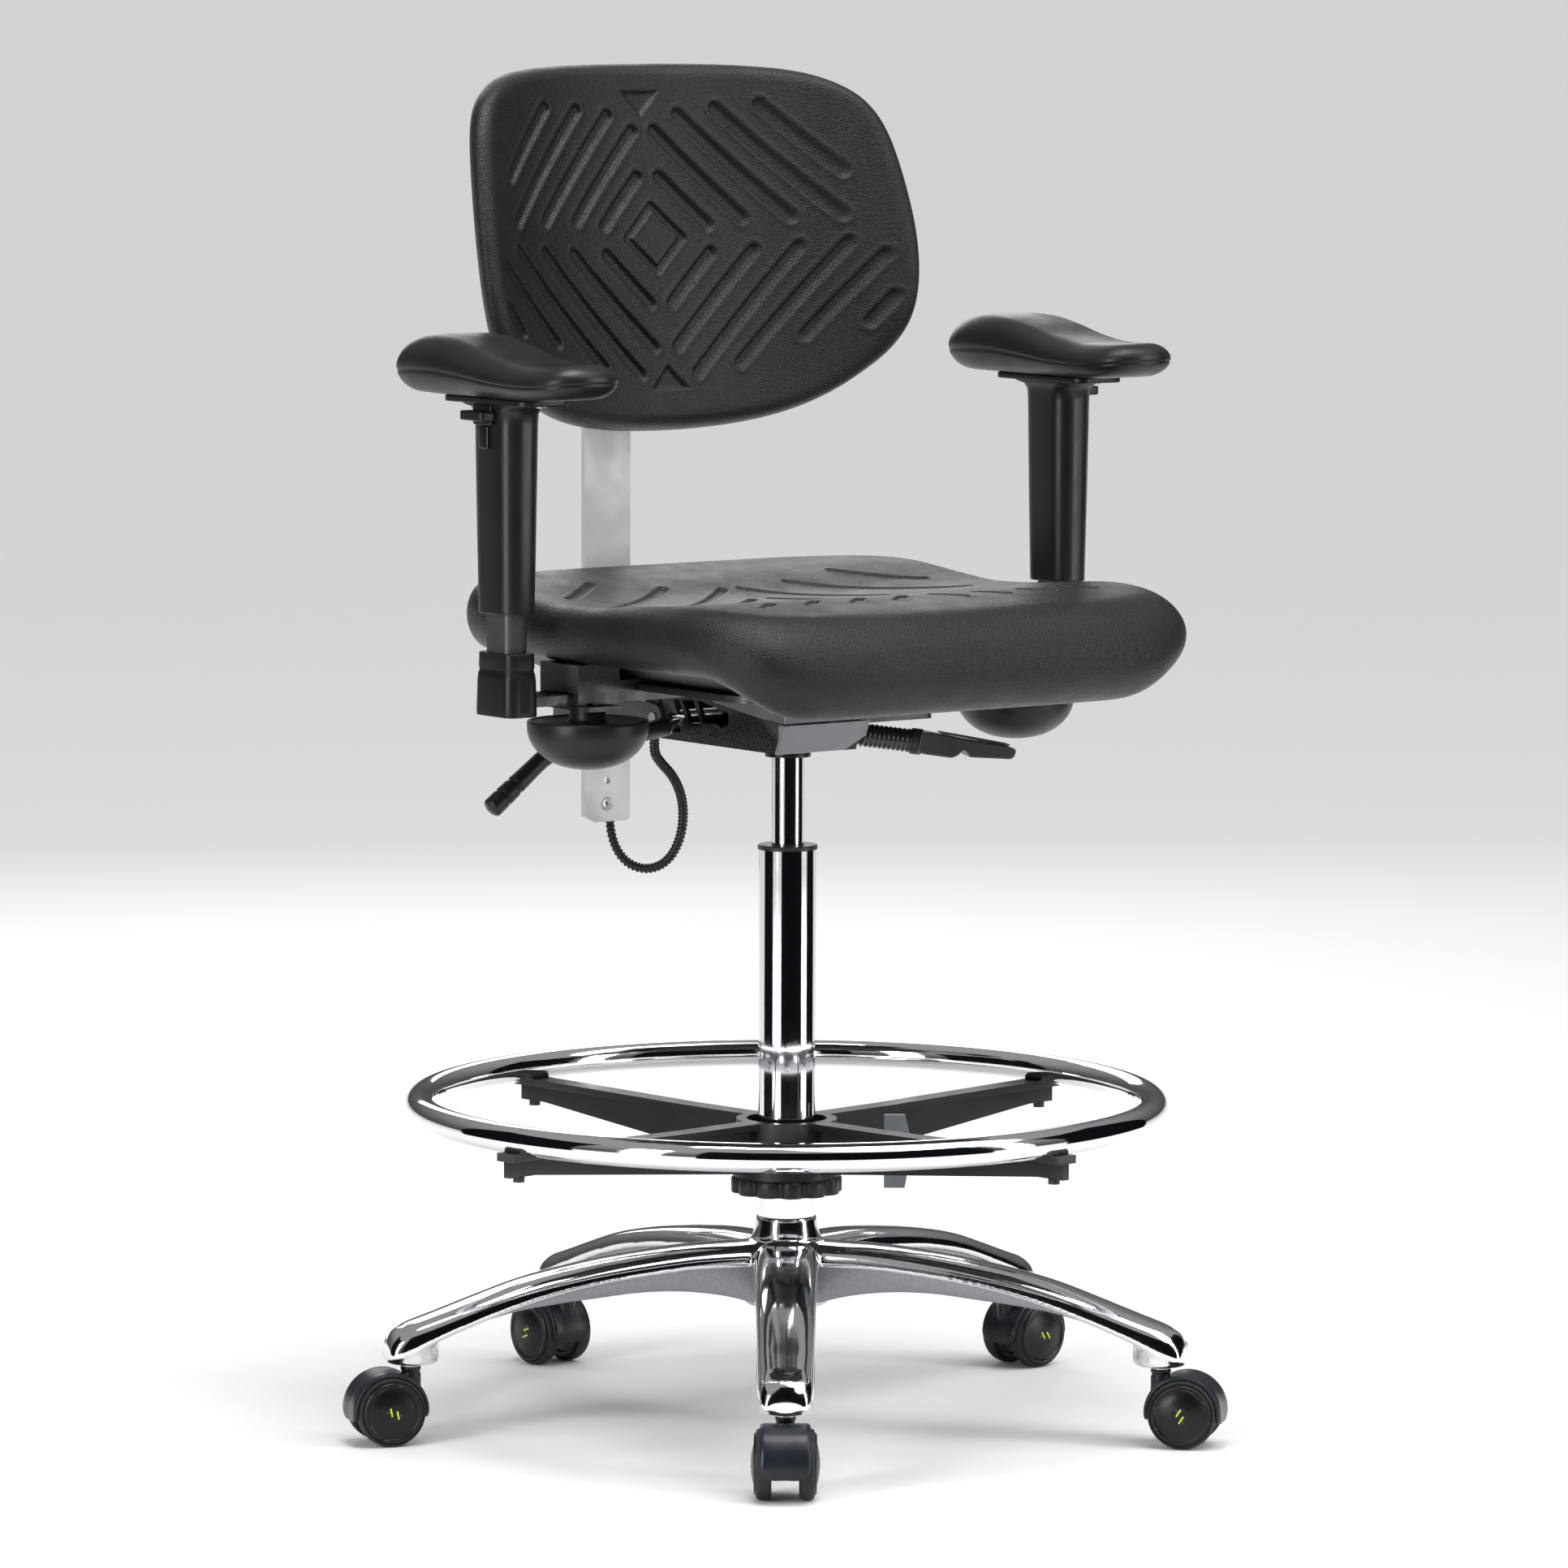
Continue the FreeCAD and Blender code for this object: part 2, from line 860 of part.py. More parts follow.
def make_ring_lock_knob():
    """Clamp screw with a wing, lying along a radius between two spokes."""
    reach = dim.wing_reach
    half = dim.wing_height / 2
    inner = reach - dim.wing_depth / 2
    outer = reach + dim.wing_depth / 2
    wing = prism(
        "lock_wing",
        "XZ_Plane",
        [
            (inner, -half),
            (outer - 4, -half),
            (outer - 1, -half * 0.5),
            (outer, half * 0.5),
            (outer - 4, half),
            (inner, half),
        ],
        dim.wing_thickness,
        symmetric=True,
    )
    place(wing, z=wing_height(), degrees=wing_direction())
    x, y = polar(1, wing_direction())
    height = wing_height()
    shank = rod("lock_shank", 4, (x * 34, y * 34, height), (x * 90, y * 90, height))
    neck = rod("lock_neck", 9, (x * 50, y * 50, height), (x * 86, y * 86, height))
    return fuse("ring_lock_knob", [wing, shank, neck])


# ---------------------------------------------------------------- seat mechanism


def make_mechanism_body():
    """Open-topped channel with the cylinder's tapered socket and ribbed side windows."""
    low = dim.mech_bottom
    wall = dim.mech_wall
    front = -dim.mech_front
    rear = dim.mech_rear
    side = [
        (front + 6, low),
        (rear, low),
        (rear, low + 32),
        (rear - 18, low + 36),
        (58, low + 54),
        (50, low + 60),
        (36, low + 60),
        (30, low + 54),
        (10, low + 46),
        (front, low + 30),
        (front, low + 14),
    ]
    channel = prism(
        "channel_blank", "YZ_Plane", side, 2 * dim.mech_half_width, symmetric=True
    )
    inside = rectangle(front + wall + 2, rear - wall, low + wall, low + 80)
    width = 2 * (dim.mech_half_width - wall)
    cut_outline(channel, "YZ_Plane", inside, width)
    windows = [
        [(101, 608), (112, 627), (104, 629), (93, 610)],
        [(72, 610), (82, 629), (98, 628), (87, 609)],
        [(30, 622), (30, 612), (38, 609), (46, 608), (54, 611), (62, 609), (68, 612), (76, 630)],
    ]
    for window in windows:
        cut_outline(channel, "YZ_Plane", window, 2 * dim.mech_half_width + 4)
    boss = rod("socket_boss", 20, (0, 0, dim.gas_shoulder - 15), (0, 0, 617))
    bore = turned(
        "socket_taper",
        [
            (0, 570),
            (dim.gas_radius, 570),
            (dim.gas_radius, dim.gas_shoulder),
            (dim.gas_tip_radius, dim.gas_top),
            (0, dim.gas_top),
        ],
    )
    pivots = pivot_pin_rods()
    small_hole = rod("side_hole", 3, (-60, 131, 624), (60, 131, 624))
    lever_window = box("lever_window", 34, 50, -41.9, -24, 598, 615)
    tilt_window = box("tilt_window", 34, 50, 1.5, 22.5, 603, 619)
    back_window = box("back_window", -50, -34, 101, 119, 599, 616)
    tools = [bore, small_hole, lever_window, tilt_window, back_window] + pivots
    tools = tools + lever_pin_rods()
    return cut("mechanism_body", fuse("channel_full", [channel, boss]), tools)


def pivot_pin_rods():
    """The two long pins: one carries the seat, the other the back bracket."""
    rods = []
    pins = [
        (dim.seat_pivot_back, dim.seat_pivot_height, dim.nose_half_width + 2),
        (dim.back_pivot_back, dim.back_pivot_height, dim.nose_half_width + 3),
    ]
    for back, height, reach in pins:
        rods.append(
            rod("pivot_rod", dim.pin_radius, (-reach, back, height), (reach, back, height))
        )
    return rods


def make_pivot_pins():
    return group("pivot_pins", pivot_pin_rods())


LEVER_PIVOT = (36, -33.5, 606)
TILT_PIVOT = (33, 12, 611)
BACK_LEVER_PIVOT = (-33, 110, 607)


def lever_direction():
    """Unit vector in plan along the height lever, which sweeps forward as it leaves."""
    angle = math.radians(dim.lever_sweep.value)
    return Vector(math.cos(angle), -math.sin(angle), 0)


def lever_pin_rods():
    """The three short hinge pins of the levers, each along its hinge axis."""
    along = lever_direction()
    across = Vector(-along.y, along.x, 0)
    pivot = Vector(*LEVER_PIVOT)
    rods = [rod("lever_pin", 2, pivot - across * 12, pivot + across * 12.5)]
    for x, y, z in (TILT_PIVOT, BACK_LEVER_PIVOT):
        rods.append(rod("lever_pin", 2, (x, y - 12, z), (x, y + 12, z)))
    return rods


def make_lever_pins():
    return group("lever_pins", lever_pin_rods())


def make_mechanism_cover():
    """Nose over the channel's front, undercut at the chin, its corners cut off below."""
    low = dim.mech_bottom
    half = dim.nose_half_width
    side = [
        (-dim.mech_front, low + 26),
        (-57, low + 26),
        (-46, low + 1),
        (-dim.mech_front + 6, low),
        (-dim.mech_front, low + 14),
    ]
    cover = prism("mechanism_cover", "YZ_Plane", side, 2 * half, symmetric=True)
    corners = [
        [(18, low - 5), (half + 4, low + 15), (half + 4, low - 5)],
        [(-half - 4, low + 9), (-half + 4, low - 5), (-half - 4, low - 5)],
    ]
    for corner in corners:
        cut_outline(cover, "XZ_Plane", corner, 200)
    return cover


def slanted(shape, pivot, along, slope):
    """Lays a piece made along +X through its own origin onto a lever's line."""
    heading = math.degrees(math.atan2(along.y, along.x))
    turn = Rotation(Z_AXIS, heading) * Rotation(Y_AXIS, slope)
    shape.Placement = Placement(pivot, turn)
    return shape


def make_height_lever():
    """Shaft through the side wall, a coil sleeve outside and an arm over the valve."""
    shaft = rod("height_shaft", 5, (-8, 0, 0), (86, 0, 0))
    sleeve = rod("height_sleeve", 9.5, (16, 0, 0), (66, 0, 0))
    lever = group("height_lever_outer", [fuse("height_lever_bars", [shaft, sleeve])])
    slanted(lever, Vector(*LEVER_PIVOT), lever_direction(), dim.lever_slope.value)
    pivot = Vector(*LEVER_PIVOT)
    post = box("height_post", -12, -1, -4.5, 4.5, -5, 30.5)
    place_about(post, pivot, -dim.lever_sweep.value)
    reach = math.hypot(pivot.x, pivot.y) + 5
    arm = box("height_arm", 2, reach, -5, 5, 0, 5)
    heading = math.degrees(math.atan2(-pivot.y, -pivot.x))
    over_valve = Vector(pivot.x, pivot.y, dim.valve_top.value + 0.5)
    place_about(arm, over_valve, heading)
    blank = fuse("height_lever_blank", [lever, post, arm])
    across = Vector(-lever_direction().y, lever_direction().x, 0)
    bore = rod("height_bore", 2 + dim.running_gap, pivot - across * 9, pivot + across * 9)
    return cut("height_lever", blank, [bore])


def make_height_paddle():
    """Finger plate on the end of the height lever, notched underneath."""
    side = [
        (62, -8),
        (98, -9),
        (105, -2),
        (111, -7),
        (150, -4),
        (152, 4),
        (66, 9),
    ]
    paddle = prism("paddle_blank", "XZ_Plane", side, 26, symmetric=True)
    round_edges(paddle, 3, lambda edge: runs_along(edge, Y_AXIS) and edge.CenterOfMass.x > 120)
    shaft = rod("paddle_bore", 5, (50, 0, 0), (86, 0, 0))
    sleeve = rod("paddle_rebate", 9.5, (50, 0, 0), (66, 0, 0))
    part = cut("height_lever_paddle", paddle, [shaft, sleeve])
    pivot = Vector(*LEVER_PIVOT)
    return slanted(part, pivot, lever_direction(), dim.lever_slope.value)


def make_tilt_lever():
    x, y, z = TILT_PIVOT
    outline = [
        (x - 5, y - 9),
        (x + 120, y - 9),
        (x + 120, y + 9, x + 131, y),
        (x - 5, y + 9),
    ]
    blank = prism("tilt_blank", "XY_Plane", outline, 5, z - 2.5)
    knuckle = rod("tilt_knuckle", 4.5, (x, y - 9, z), (x, y + 9, z))
    bore = rod("tilt_bore", 2 + dim.running_gap, (x, y - 10, z), (x, y + 10, z))
    return cut("tilt_lever", fuse("tilt_full", [blank, knuckle]), [bore])


def make_back_lever():
    """Shaft with a coil sleeve, leaving the channel's other side wall."""
    x, y, z = BACK_LEVER_PIVOT
    knuckle = rod("back_lever_knuckle", 6, (x, y - 7, z), (x, y + 7, z))
    shaft = rod("back_lever_shaft", 4.5, (x, y, z), (-176, y, 587))
    sleeve = rod("back_lever_sleeve", 8, (-50, y, 604.6), (-168, y, 588.1))
    bore = rod("back_lever_bore", 2 + dim.running_gap, (x, y - 9, z), (x, y + 9, z))
    return cut("back_lever", fuse("back_lever_full", [knuckle, shaft, sleeve]), [bore])


def make_back_lever_grip():
    """Bent plastic grip pushed over the end of the back lever."""
    y = BACK_LEVER_PIVOT[1]
    bend = (-184, y, 585)
    end = (-235, y, 545)
    pieces = [
        rod("grip_start", 9, (-168.4, y, 588), bend),
        ball("grip_bend", 9, bend),
        rod("grip_end", 9, bend, end),
        ball("grip_tip", 9, end),
    ]
    shaft = rod("grip_bore", 4.5, (-150, y, 590.6), (-176, y, 587))
    sleeve = rod("grip_rebate", 8, (-150, y, 590.6), (-168, y, 588.1))
    return cut("back_lever_grip", fuse("grip_full", pieces), [shaft, sleeve])


# ---------------------------------------------------------------- seat


def make_seat_carrier():
    """Casting under the seat plate, with two rounded arms out to the seat pivot."""
    low = dim.mech_bottom + 28
    top = dim.carrier_top
    back = dim.seat_pivot_back
    height = dim.seat_pivot_height
    side = [
        (-57, low),
        (-20, low + 2),
        (back, height - 12),
        (back, top, back + 12, height),
        (-57, top),
    ]
    half = dim.nose_half_width
    carrier = prism("carrier_blank", "YZ_Plane", side, 2 * half, symmetric=True)
    inside = [(-52, 600), (90, 600), (90, 670), (28, 670), (28, top - 6), (-52, top - 6)]
    cut_outline(carrier, "YZ_Plane", inside, 2 * (half - 3))
    round_edges(carrier, 2, lambda edge: runs_along(edge, Z_AXIS) and edge.CenterOfMass.y < -56)
    bore = rod(
        "carrier_bore",
        dim.pin_radius + dim.running_gap,
        (-60, back, height),
        (60, back, height),
    )
    return cut("seat_carrier", carrier, [bore] + seat_bolt_shanks())


def seat_bolt_shanks():
    shanks = []
    for x in (-28, 28):
        for y in (-40, 14):
            shanks.append(rod("seat_shank", 3, (x, y, 645), (x, y, 659)))
    return shanks


def make_seat_plate():
    """Plate under the cushion with a rail guide for each arm."""
    low = dim.carrier_top
    high = low + dim.plate_thickness
    half = dim.plate_half_width
    plate = prism(
        "plate_blank", "XY_Plane", rectangle(-half, half, -190, 142), dim.plate_thickness, low
    )
    round_edges(plate, 40, lambda edge: runs_along(edge, Z_AXIS))
    pieces = [plate]
    for side in SIDES.values():
        inner = 160 * side
        outer = 243 * side
        left, right = min(inner, outer), max(inner, outer)
        near, far = min(200 * side, outer), max(200 * side, outer)
        pieces.append(box("guide_arm", left, right, -28, 28, low, high + 4))
        pieces.append(box("guide_block", near, far, -28, 28, low, dim.cushion_side_bottom - 0.5))
        pieces.append(box("guide_wall", near, far, -28, -21.5, low - 14, low))
        pieces.append(box("guide_wall", near, far, 21.5, 28, low - 14, low))
        pieces.append(knob_pillar(side, low))
    bores = []
    for side in SIDES.values():
        x = dim.knob_offset * side
        y = -dim.knob_forward
        bores.append(rod("knob_bore", 4 + dim.running_gap, (x, y, 630), (x, y, 646)))
    tools = bores + seat_bolt_shanks()
    return cut("seat_plate", fuse("plate_full", pieces), tools)


def knob_pillar(side, low):
    """Floor of the rail guide, reaching forward over the arm's width knob."""
    near, far = sorted([209 * side, 243 * side])
    return prism("guide_floor", "XY_Plane", rectangle(near, far, -44, 28), 4, low - 14)


def make_seat_bolts():
    bolts = []
    for index, shank in enumerate(seat_bolt_shanks()):
        base = shank.Placement.Base
        head = rod("seat_head", 5.5, (base.x, base.y, 644.5), (base.x, base.y, 648))
        bolts.append(fuse(f"seat_bolt_{index}", [shank, head]))
    return group("seat_bolts", bolts)


def make_seat_cushion():
    """Moulded foam: a broad pad with a deeper middle that sits on the plate."""
    half = dim.cushion_half_width
    low = dim.cushion_side_bottom
    outline = rectangle(-half, half, -dim.cushion_front, dim.cushion_back)
    cushion = prism("seat_cushion", "XY_Plane", outline, dim.cushion_top - low, low)
    round_edges(cushion, dim.cushion_corner, lambda edge: runs_along(edge, Z_AXIS))
    plate_top = dim.carrier_top + dim.plate_thickness
    middle = rectangle(-150, 150, -230, 150)
    add_outline(cushion, "XY_Plane", middle, low - plate_top + 2, plate_top, symmetric=False)
    top = dim.cushion_top.value
    round_edges(cushion, 16, lambda edge: abs(edge.BoundBox.ZMin - top) < 0.01)
    return cushion


# ---------------------------------------------------------------- arms


def oval_blank(name, x, width, depth, low, high, top_width=None, top_depth=None):
    """Upright rounded post, lofted where its top differs from its bottom."""
    top_width = width if top_width is None else top_width
    top_depth = depth if top_depth is None else top_depth
    body = new_body(name)
    sections = []
    for z, wide, deep in ((low, width, depth), (high, top_width, top_depth)):
        sketch = new_sketch(body, "XY_Plane", z)
        flat = (deep - wide * 0.6) / 2
        half = wide / 2
        draw_outline(
            sketch,
            [
                (x + half, flat),
                (x - half, flat, x, deep / 2),
                (x - half, -flat),
                (x + half, -flat, x, -deep / 2),
            ],
        )
        sections.append(sketch)
    loft = body.newObject("PartDesign::AdditiveLoft", name + "_loft")
    loft.Profile = sections[0]
    loft.Sections = sections[1:]
    loft.Ruled = True
    return body


def make_arm_rail(name, side):
    """Flat rail under the seat, the tubular upright welded on its end, and both filled in."""
    x = dim.arm_spread * side
    half = dim.rail_half_depth
    near, far = sorted([95 * side, 290 * side])
    rail = box(name + "_bar", near, far, -half, half, dim.rail_bottom, dim.rail_top)
    upright = oval_blank(
        name + "_post", x, dim.upright_width, dim.upright_depth, dim.rail_bottom, dim.upright_top
    )
    solid = fuse(name + "_solid", [rail, upright])
    wall = 2 * dim.upright_wall
    hollow = oval_blank(
        name + "_hollow",
        x,
        dim.upright_width - wall,
        dim.upright_depth - wall,
        dim.rail_top + 3,
        dim.upright_top,
    )
    return cut(name, solid, [hollow]), solid


def make_arm_boot(name, side, solid_rail):
    """Tapered moulding that hides the corner between rail and upright."""
    x = dim.arm_spread * side
    blank = oval_blank(name + "_blank", x, 33, 54, 637, 691, 29, 50)
    return cut(name, blank, [solid_rail])


def make_arm_sleeve(name, side):
    """Height sleeve that slides on the upright, with the pad's plate on its top."""
    x = dim.arm_spread * side
    outer = oval_blank(name + "_outer", x, 27.5, 45, dim.sleeve_bottom, dim.sleeve_top, 32, 50)
    plate = prism(
        name + "_plate",
        "XY_Plane",
        rectangle(x - 26, x + 26, -62, 62),
        dim.pad_bottom - dim.sleeve_top,
        dim.sleeve_top,
    )
    round_edges(plate, 20, lambda edge: runs_along(edge, Z_AXIS))
    gap = 0.8
    cavity = oval_blank(
        name + "_cavity", x, dim.upright_width + gap, dim.upright_depth + gap, 720, 899
    )
    window_near, window_far = sorted([number(x) + side * 8, number(x) + side * 20])
    window = box(name + "_window", window_near, window_far, -8.5, 8.5, 887.5, 898.5)
    return cut(name, fuse(name + "_full", [outer, plate]), [cavity, window])


def make_arm_button(name, side):
    """Release button on the outer face of the sleeve."""
    x = dim.arm_spread.value * side
    tongue_near, tongue_far = sorted([x + side * 10, x + side * 18])
    head_near, head_far = sorted([x + side * 20.5, x + side * 36])
    neck_near, neck_far = sorted([x + side * 18, x + side * 20.5])
    head = prism(
        name + "_head",
        "XY_Plane",
        rectangle(head_near, head_far, -14, 20),
        17,
        884,
    )
    round_edges(head, 5, lambda edge: runs_along(edge, Z_AXIS))
    tongue = box(name + "_tongue", tongue_near, tongue_far, -8, 8, 888, 898)
    neck = box(name + "_neck", neck_near, neck_far, -8, 8, 888, 898)
    return fuse(name, [head, neck, tongue])


def make_arm_pad(name, side):
    """Foam pad: humped at the rear, dipped in front, rounded in plan."""
    x = dim.arm_spread * side
    half = dim.pad_length / 2
    low = dim.pad_bottom
    flat = half - 64
    profile = [
        (-half, low + 14),
        (-flat, low, -half + 32, low + 3.4),
        (flat, low),
        (half, low + 14, half - 32, low + 3.4),
        (half, low + 34),
        (10, low + 50, half * 0.55, low + 54),
        (-half, low + 30, -half * 0.6, low + 30),
    ]
    body = prism(name, "YZ_Plane", profile, dim.pad_width, x - dim.pad_width / 2)
    inner, outer = x - dim.pad_width / 2, x + dim.pad_width / 2
    for y, sign in ((-half, 1), (half, -1)):
        shoulder = y + sign * 42
        corner = [
            (inner - 5, shoulder),
            (inner, shoulder),
            (outer, shoulder, x, y + sign * 0.5),
            (outer + 5, shoulder),
            (outer + 5, y - sign * 5),
            (inner - 5, y - sign * 5),
        ]
        cut_outline(body, "XY_Plane", corner, 200, 940)
    return body


def make_arm_knob(name, side):
    """Bowl-shaped hand knob under the rail, on a short screw."""
    radius = dim.knob_radius
    knob = turned(
        name + "_bowl",
        [
            (0, 590),
            (radius, 629, radius * 0.72, 601.5),
            (radius - 1, 632),
            (22, 632),
            (22, 639.7),
            (4, 639.7),
            (4, 644.2),
            (0, 644.2),
        ],
    )
    knob.Label = name
    return place(knob, dim.knob_offset * side, -dim.knob_forward)


# ---------------------------------------------------------------- back


def make_back_bracket():
    """Two side plates on the back pivot and a block that grips the bar."""
    back = dim.back_pivot_back
    height = dim.back_pivot_height
    rear = dim.bar_back + 14
    side = [
        (back, height - 12, back - 12, height),
        (rear - 24, height - 24),
        (rear, height - 24),
        (rear, height + 26),
        (rear - 24, height + 26),
        (back, height + 12),
    ]
    inner = dim.mech_half_width + 1
    outer = dim.nose_half_width + 1.5
    blank = prism("bracket_blank", "YZ_Plane", side, 2 * outer, symmetric=True)
    inside = rectangle(back - 30, rear - 28, height - 60, height + 60)
    cut_outline(blank, "YZ_Plane", inside, 2 * inner)
    bore = rod(
        "bracket_bore",
        dim.pin_radius + dim.running_gap,
        (-60, back, height),
        (60, back, height),
    )
    half = dim.bar_half_width
    thick = dim.bar_thickness / 2
    slot = box(
        "bracket_slot", -half, half, dim.bar_back - thick, dim.bar_back + thick, 560, 660
    )
    return cut("back_bracket", blank, [bore, slot])


def make_back_bar():
    """Flat bar with cut corners and two spare holes at its lower end."""
    half = dim.bar_half_width
    low = dim.bar_bottom
    outline = [
        (-half + 12, low),
        (half - 3, low),
        (half, low + 3),
        (half, dim.bar_top - 10),
        (half - 10, dim.bar_top),
        (-half + 10, dim.bar_top),
        (-half, dim.bar_top - 10),
        (-half, low + 6),
    ]
    bar = prism("bar_blank", "XZ_Plane", outline, dim.bar_thickness, symmetric=True)
    place(bar, y=dim.bar_back)
    front = dim.bar_back - dim.bar_thickness / 2
    holes = []
    for index in range(2):
        z = dim.bar_hole_low + index * dim.bar_hole_pitch
        holes.append(rod("bar_hole", dim.bar_hole_radius, (0, 260, z), (0, 290, z)))
    sink = doc.addObject("Part::Cone", "bar_sink")
    bind(sink, "Radius1", dim.bar_hole_radius + 3)
    bind(sink, "Radius2", dim.bar_hole_radius)
    sink.Height = 2
    sink_base = Vector(0, number(front), dim.bar_hole_low.value)
    sink.Placement = Placement(sink_base, Rotation(Z_AXIS, Y_AXIS))
    return cut("back_bar", bar, holes + [sink])


def lean_back(shape):
    """Moves a piece made about the middle of the back's front face into place."""
    base = Vector(0, dim.back_front_face.value, dim.back_centre_height.value)
    shape.Placement = Placement(base, Rotation(X_AXIS, -dim.back_lean.value))
    return shape


def back_outline(inset):
    """Front view of the back: broad and flat above, rounded and narrower below."""
    half = dim.back_half_width - inset
    tall = dim.back_half_height - inset
    return [
        (half, tall - 50),
        (half - 44, tall - 6, half - 12, tall - 20),
        (-half + 44, tall - 6, 0, tall),
        (-half, tall - 50, -half + 12, tall - 20),
        (-half + 8, -20),
        (-half + 92, -tall + 6, -half + 30, -tall + 62),
        (half - 92, -tall + 6, 0, -tall),
        (half - 8, -20, half - 30, -tall + 62),
    ]


SHELL_HALF_CHORD = 240
SHELL_REAR = 45
SHELL_BOW = 102


def crescent(front, rear, wing_front, wing_rear):
    """Plan of the back as wide as the shell's chord: front arc and rear arc."""
    wide = SHELL_HALF_CHORD
    return [
        (-wide, wing_rear),
        (wide, wing_rear, 0, rear),
        (wide, wing_front),
        (-wide, wing_front, 0, front),
    ]


def make_back_cushion():
    blank = prism("back_blank", "XZ_Plane", back_outline(0), 400, symmetric=True)
    plan = prism("back_plan", "XY_Plane", crescent(0, 40, -92, -62), 400, symmetric=True)
    common = doc.addObject("Part::MultiCommon", "back_cushion")
    common.Shapes = [blank, plan]
    common.Label = "back_cushion"
    return lean_back(common)


def make_back_shell():
    """Curved plate behind the cushion with an upright guide for the bar."""
    blank = prism("shell_blank", "XZ_Plane", back_outline(22), 400, symmetric=True)
    wing = SHELL_REAR - SHELL_BOW
    arcs = crescent(SHELL_REAR - 5, SHELL_REAR, wing - 5, wing)
    plan = prism("shell_plan", "XY_Plane", arcs, 400, symmetric=True)
    plate = doc.addObject("Part::MultiCommon", "shell_plate")
    plate.Shapes = [blank, plan]
    lean_back(plate)
    half = dim.bar_half_width + 9
    back = dim.bar_back
    guide = box("shell_guide", -half, half, back - 34, back + 10, 930, 1050)
    cushion = make_back_cushion()
    screws = make_back_screws()
    gap = 0.4
    thick = dim.bar_thickness / 2 + gap
    inner = dim.bar_half_width + gap
    slot = box("shell_slot", -inner, inner, back - thick, back + thick, 850, 1200)
    tools = [slot, cushion, screws]
    return cut("back_shell", fuse("shell_full", [plate, guide]), tools), cushion, screws


def make_back_screws():
    """Four screws that hold the cushion to the shell, seen as domed heads behind it."""
    spread = 110
    bend_radius = (SHELL_HALF_CHORD**2 + SHELL_BOW**2) / (2 * SHELL_BOW)
    drop = bend_radius - math.sqrt(bend_radius**2 - spread**2)
    depth = SHELL_REAR - drop
    heads = []
    for x in (-spread, spread):
        for z in (-70, 70):
            heads.append(rod("screw_head", 5.5, (x, depth - 2.2, z), (x, depth + 3, z)))
    return lean_back(group("back_screws", heads))


def make_cable_gland():
    back = dim.bar_back + dim.bar_thickness / 2
    x, _, z = CABLE_ROUTE[-1]
    return box("cable_gland", x - 8, x + 8, back, back + 16, z, z + 24)


# ---------------------------------------------------------------- control cable


def cable_wire():
    """Straight runs joined by tangent arcs, and the radius of every arc."""
    route = [Vector(*point) for point in CABLE_ROUTE]
    edges = []
    radii = []
    here = route[0]
    for before, corner, after in zip(route, route[1:], route[2:]):
        back = before - corner
        ahead = after - corner
        setback = 0.45 * min(back.Length, ahead.Length)
        turn = math.pi - back.getAngle(ahead)
        radius = setback / math.tan(turn / 2)
        radii.append(radius)
        back.normalize()
        ahead.normalize()
        first = corner + back * setback
        last = corner + ahead * setback
        toward = (back + ahead).normalize()
        centre = corner + toward * math.hypot(setback, radius)
        middle = centre - toward * radius
        edges.append(Part.LineSegment(here, first).toShape())
        edges.append(Part.Arc(first, middle, last).toShape())
        here = last
    edges.append(Part.LineSegment(here, route[-1]).toShape())
    return Part.Wire(edges), radii


def make_control_cable():
    """Conduit swept along its route, from the mechanism round to the back bar."""
    wire, radii = cable_wire()
    start = Vector(*CABLE_ROUTE[0])
    heading = Vector(*CABLE_ROUTE[1]) - start
    radius = dim.cable_diameter.value / 2
    profile = Part.Wire([Part.makeCircle(radius, start, heading)])
    tube = wire.makePipeShell([profile], True, True)
    cable = doc.addObject("Part::Feature", "control_cable")
    cable.Shape = tube
    cable.Label = "control_cable"
    expected = math.pi * radius**2 * wire.Length
    print("cable radii:", [round(value, 1) for value in radii])
    print("cable length:", round(wire.Length, 1))
    print("cable volume over section times length:", round(tube.Volume / expected, 4))
    return cable


# ---------------------------------------------------------------- assembly


def make_base_parts():
    return [
        make_star_base(),
        make_column_tube(),
        make_column_bush(),
        make_thrust_bearing(),
        make_caster_stems(),
        make_piston_rod(),
        make_gas_cylinder(),
        make_valve_pin(),
    ]


def make_casters():
    parts = []
    for index in range(LEG_COUNT):
        parts.append(make_caster_hood(index))
        for hand in SIDES:
            parts.append(make_caster_wheel(index, hand))
    return parts


def make_ring_parts():
    return [
        make_foot_ring(),
        make_ring_spider(),
        make_ring_screws(),
        make_ring_grip(),
        make_ring_lock_knob(),
    ]


def make_mechanism_parts():
    return [
        make_mechanism_body(),
        make_mechanism_cover(),
        make_pivot_pins(),
        make_lever_pins(),
        make_height_lever(),
        make_height_paddle(),
        make_tilt_lever(),
        make_back_lever(),
        make_back_lever_grip(),
    ]


def make_seat_parts():
    return [
        make_seat_carrier(),
        make_seat_plate(),
        make_seat_bolts(),
        make_seat_cushion(),
    ]


def make_arm(hand, side):
    rail, solid_rail = make_arm_rail(f"arm_rail_{hand}", side)
    return [
        rail,
        make_arm_boot(f"arm_boot_{hand}", side, solid_rail),
        make_arm_sleeve(f"arm_sleeve_{hand}", side),
        make_arm_button(f"arm_button_{hand}", side),
        make_arm_pad(f"arm_pad_{hand}", side),
        make_arm_knob(f"arm_knob_{hand}", side),
    ]


def make_back_parts():
    shell, cushion, screws = make_back_shell()
    parts = [make_back_bracket(), make_back_bar(), shell, cushion, screws]
    return parts + [make_cable_gland(), make_control_cable()]


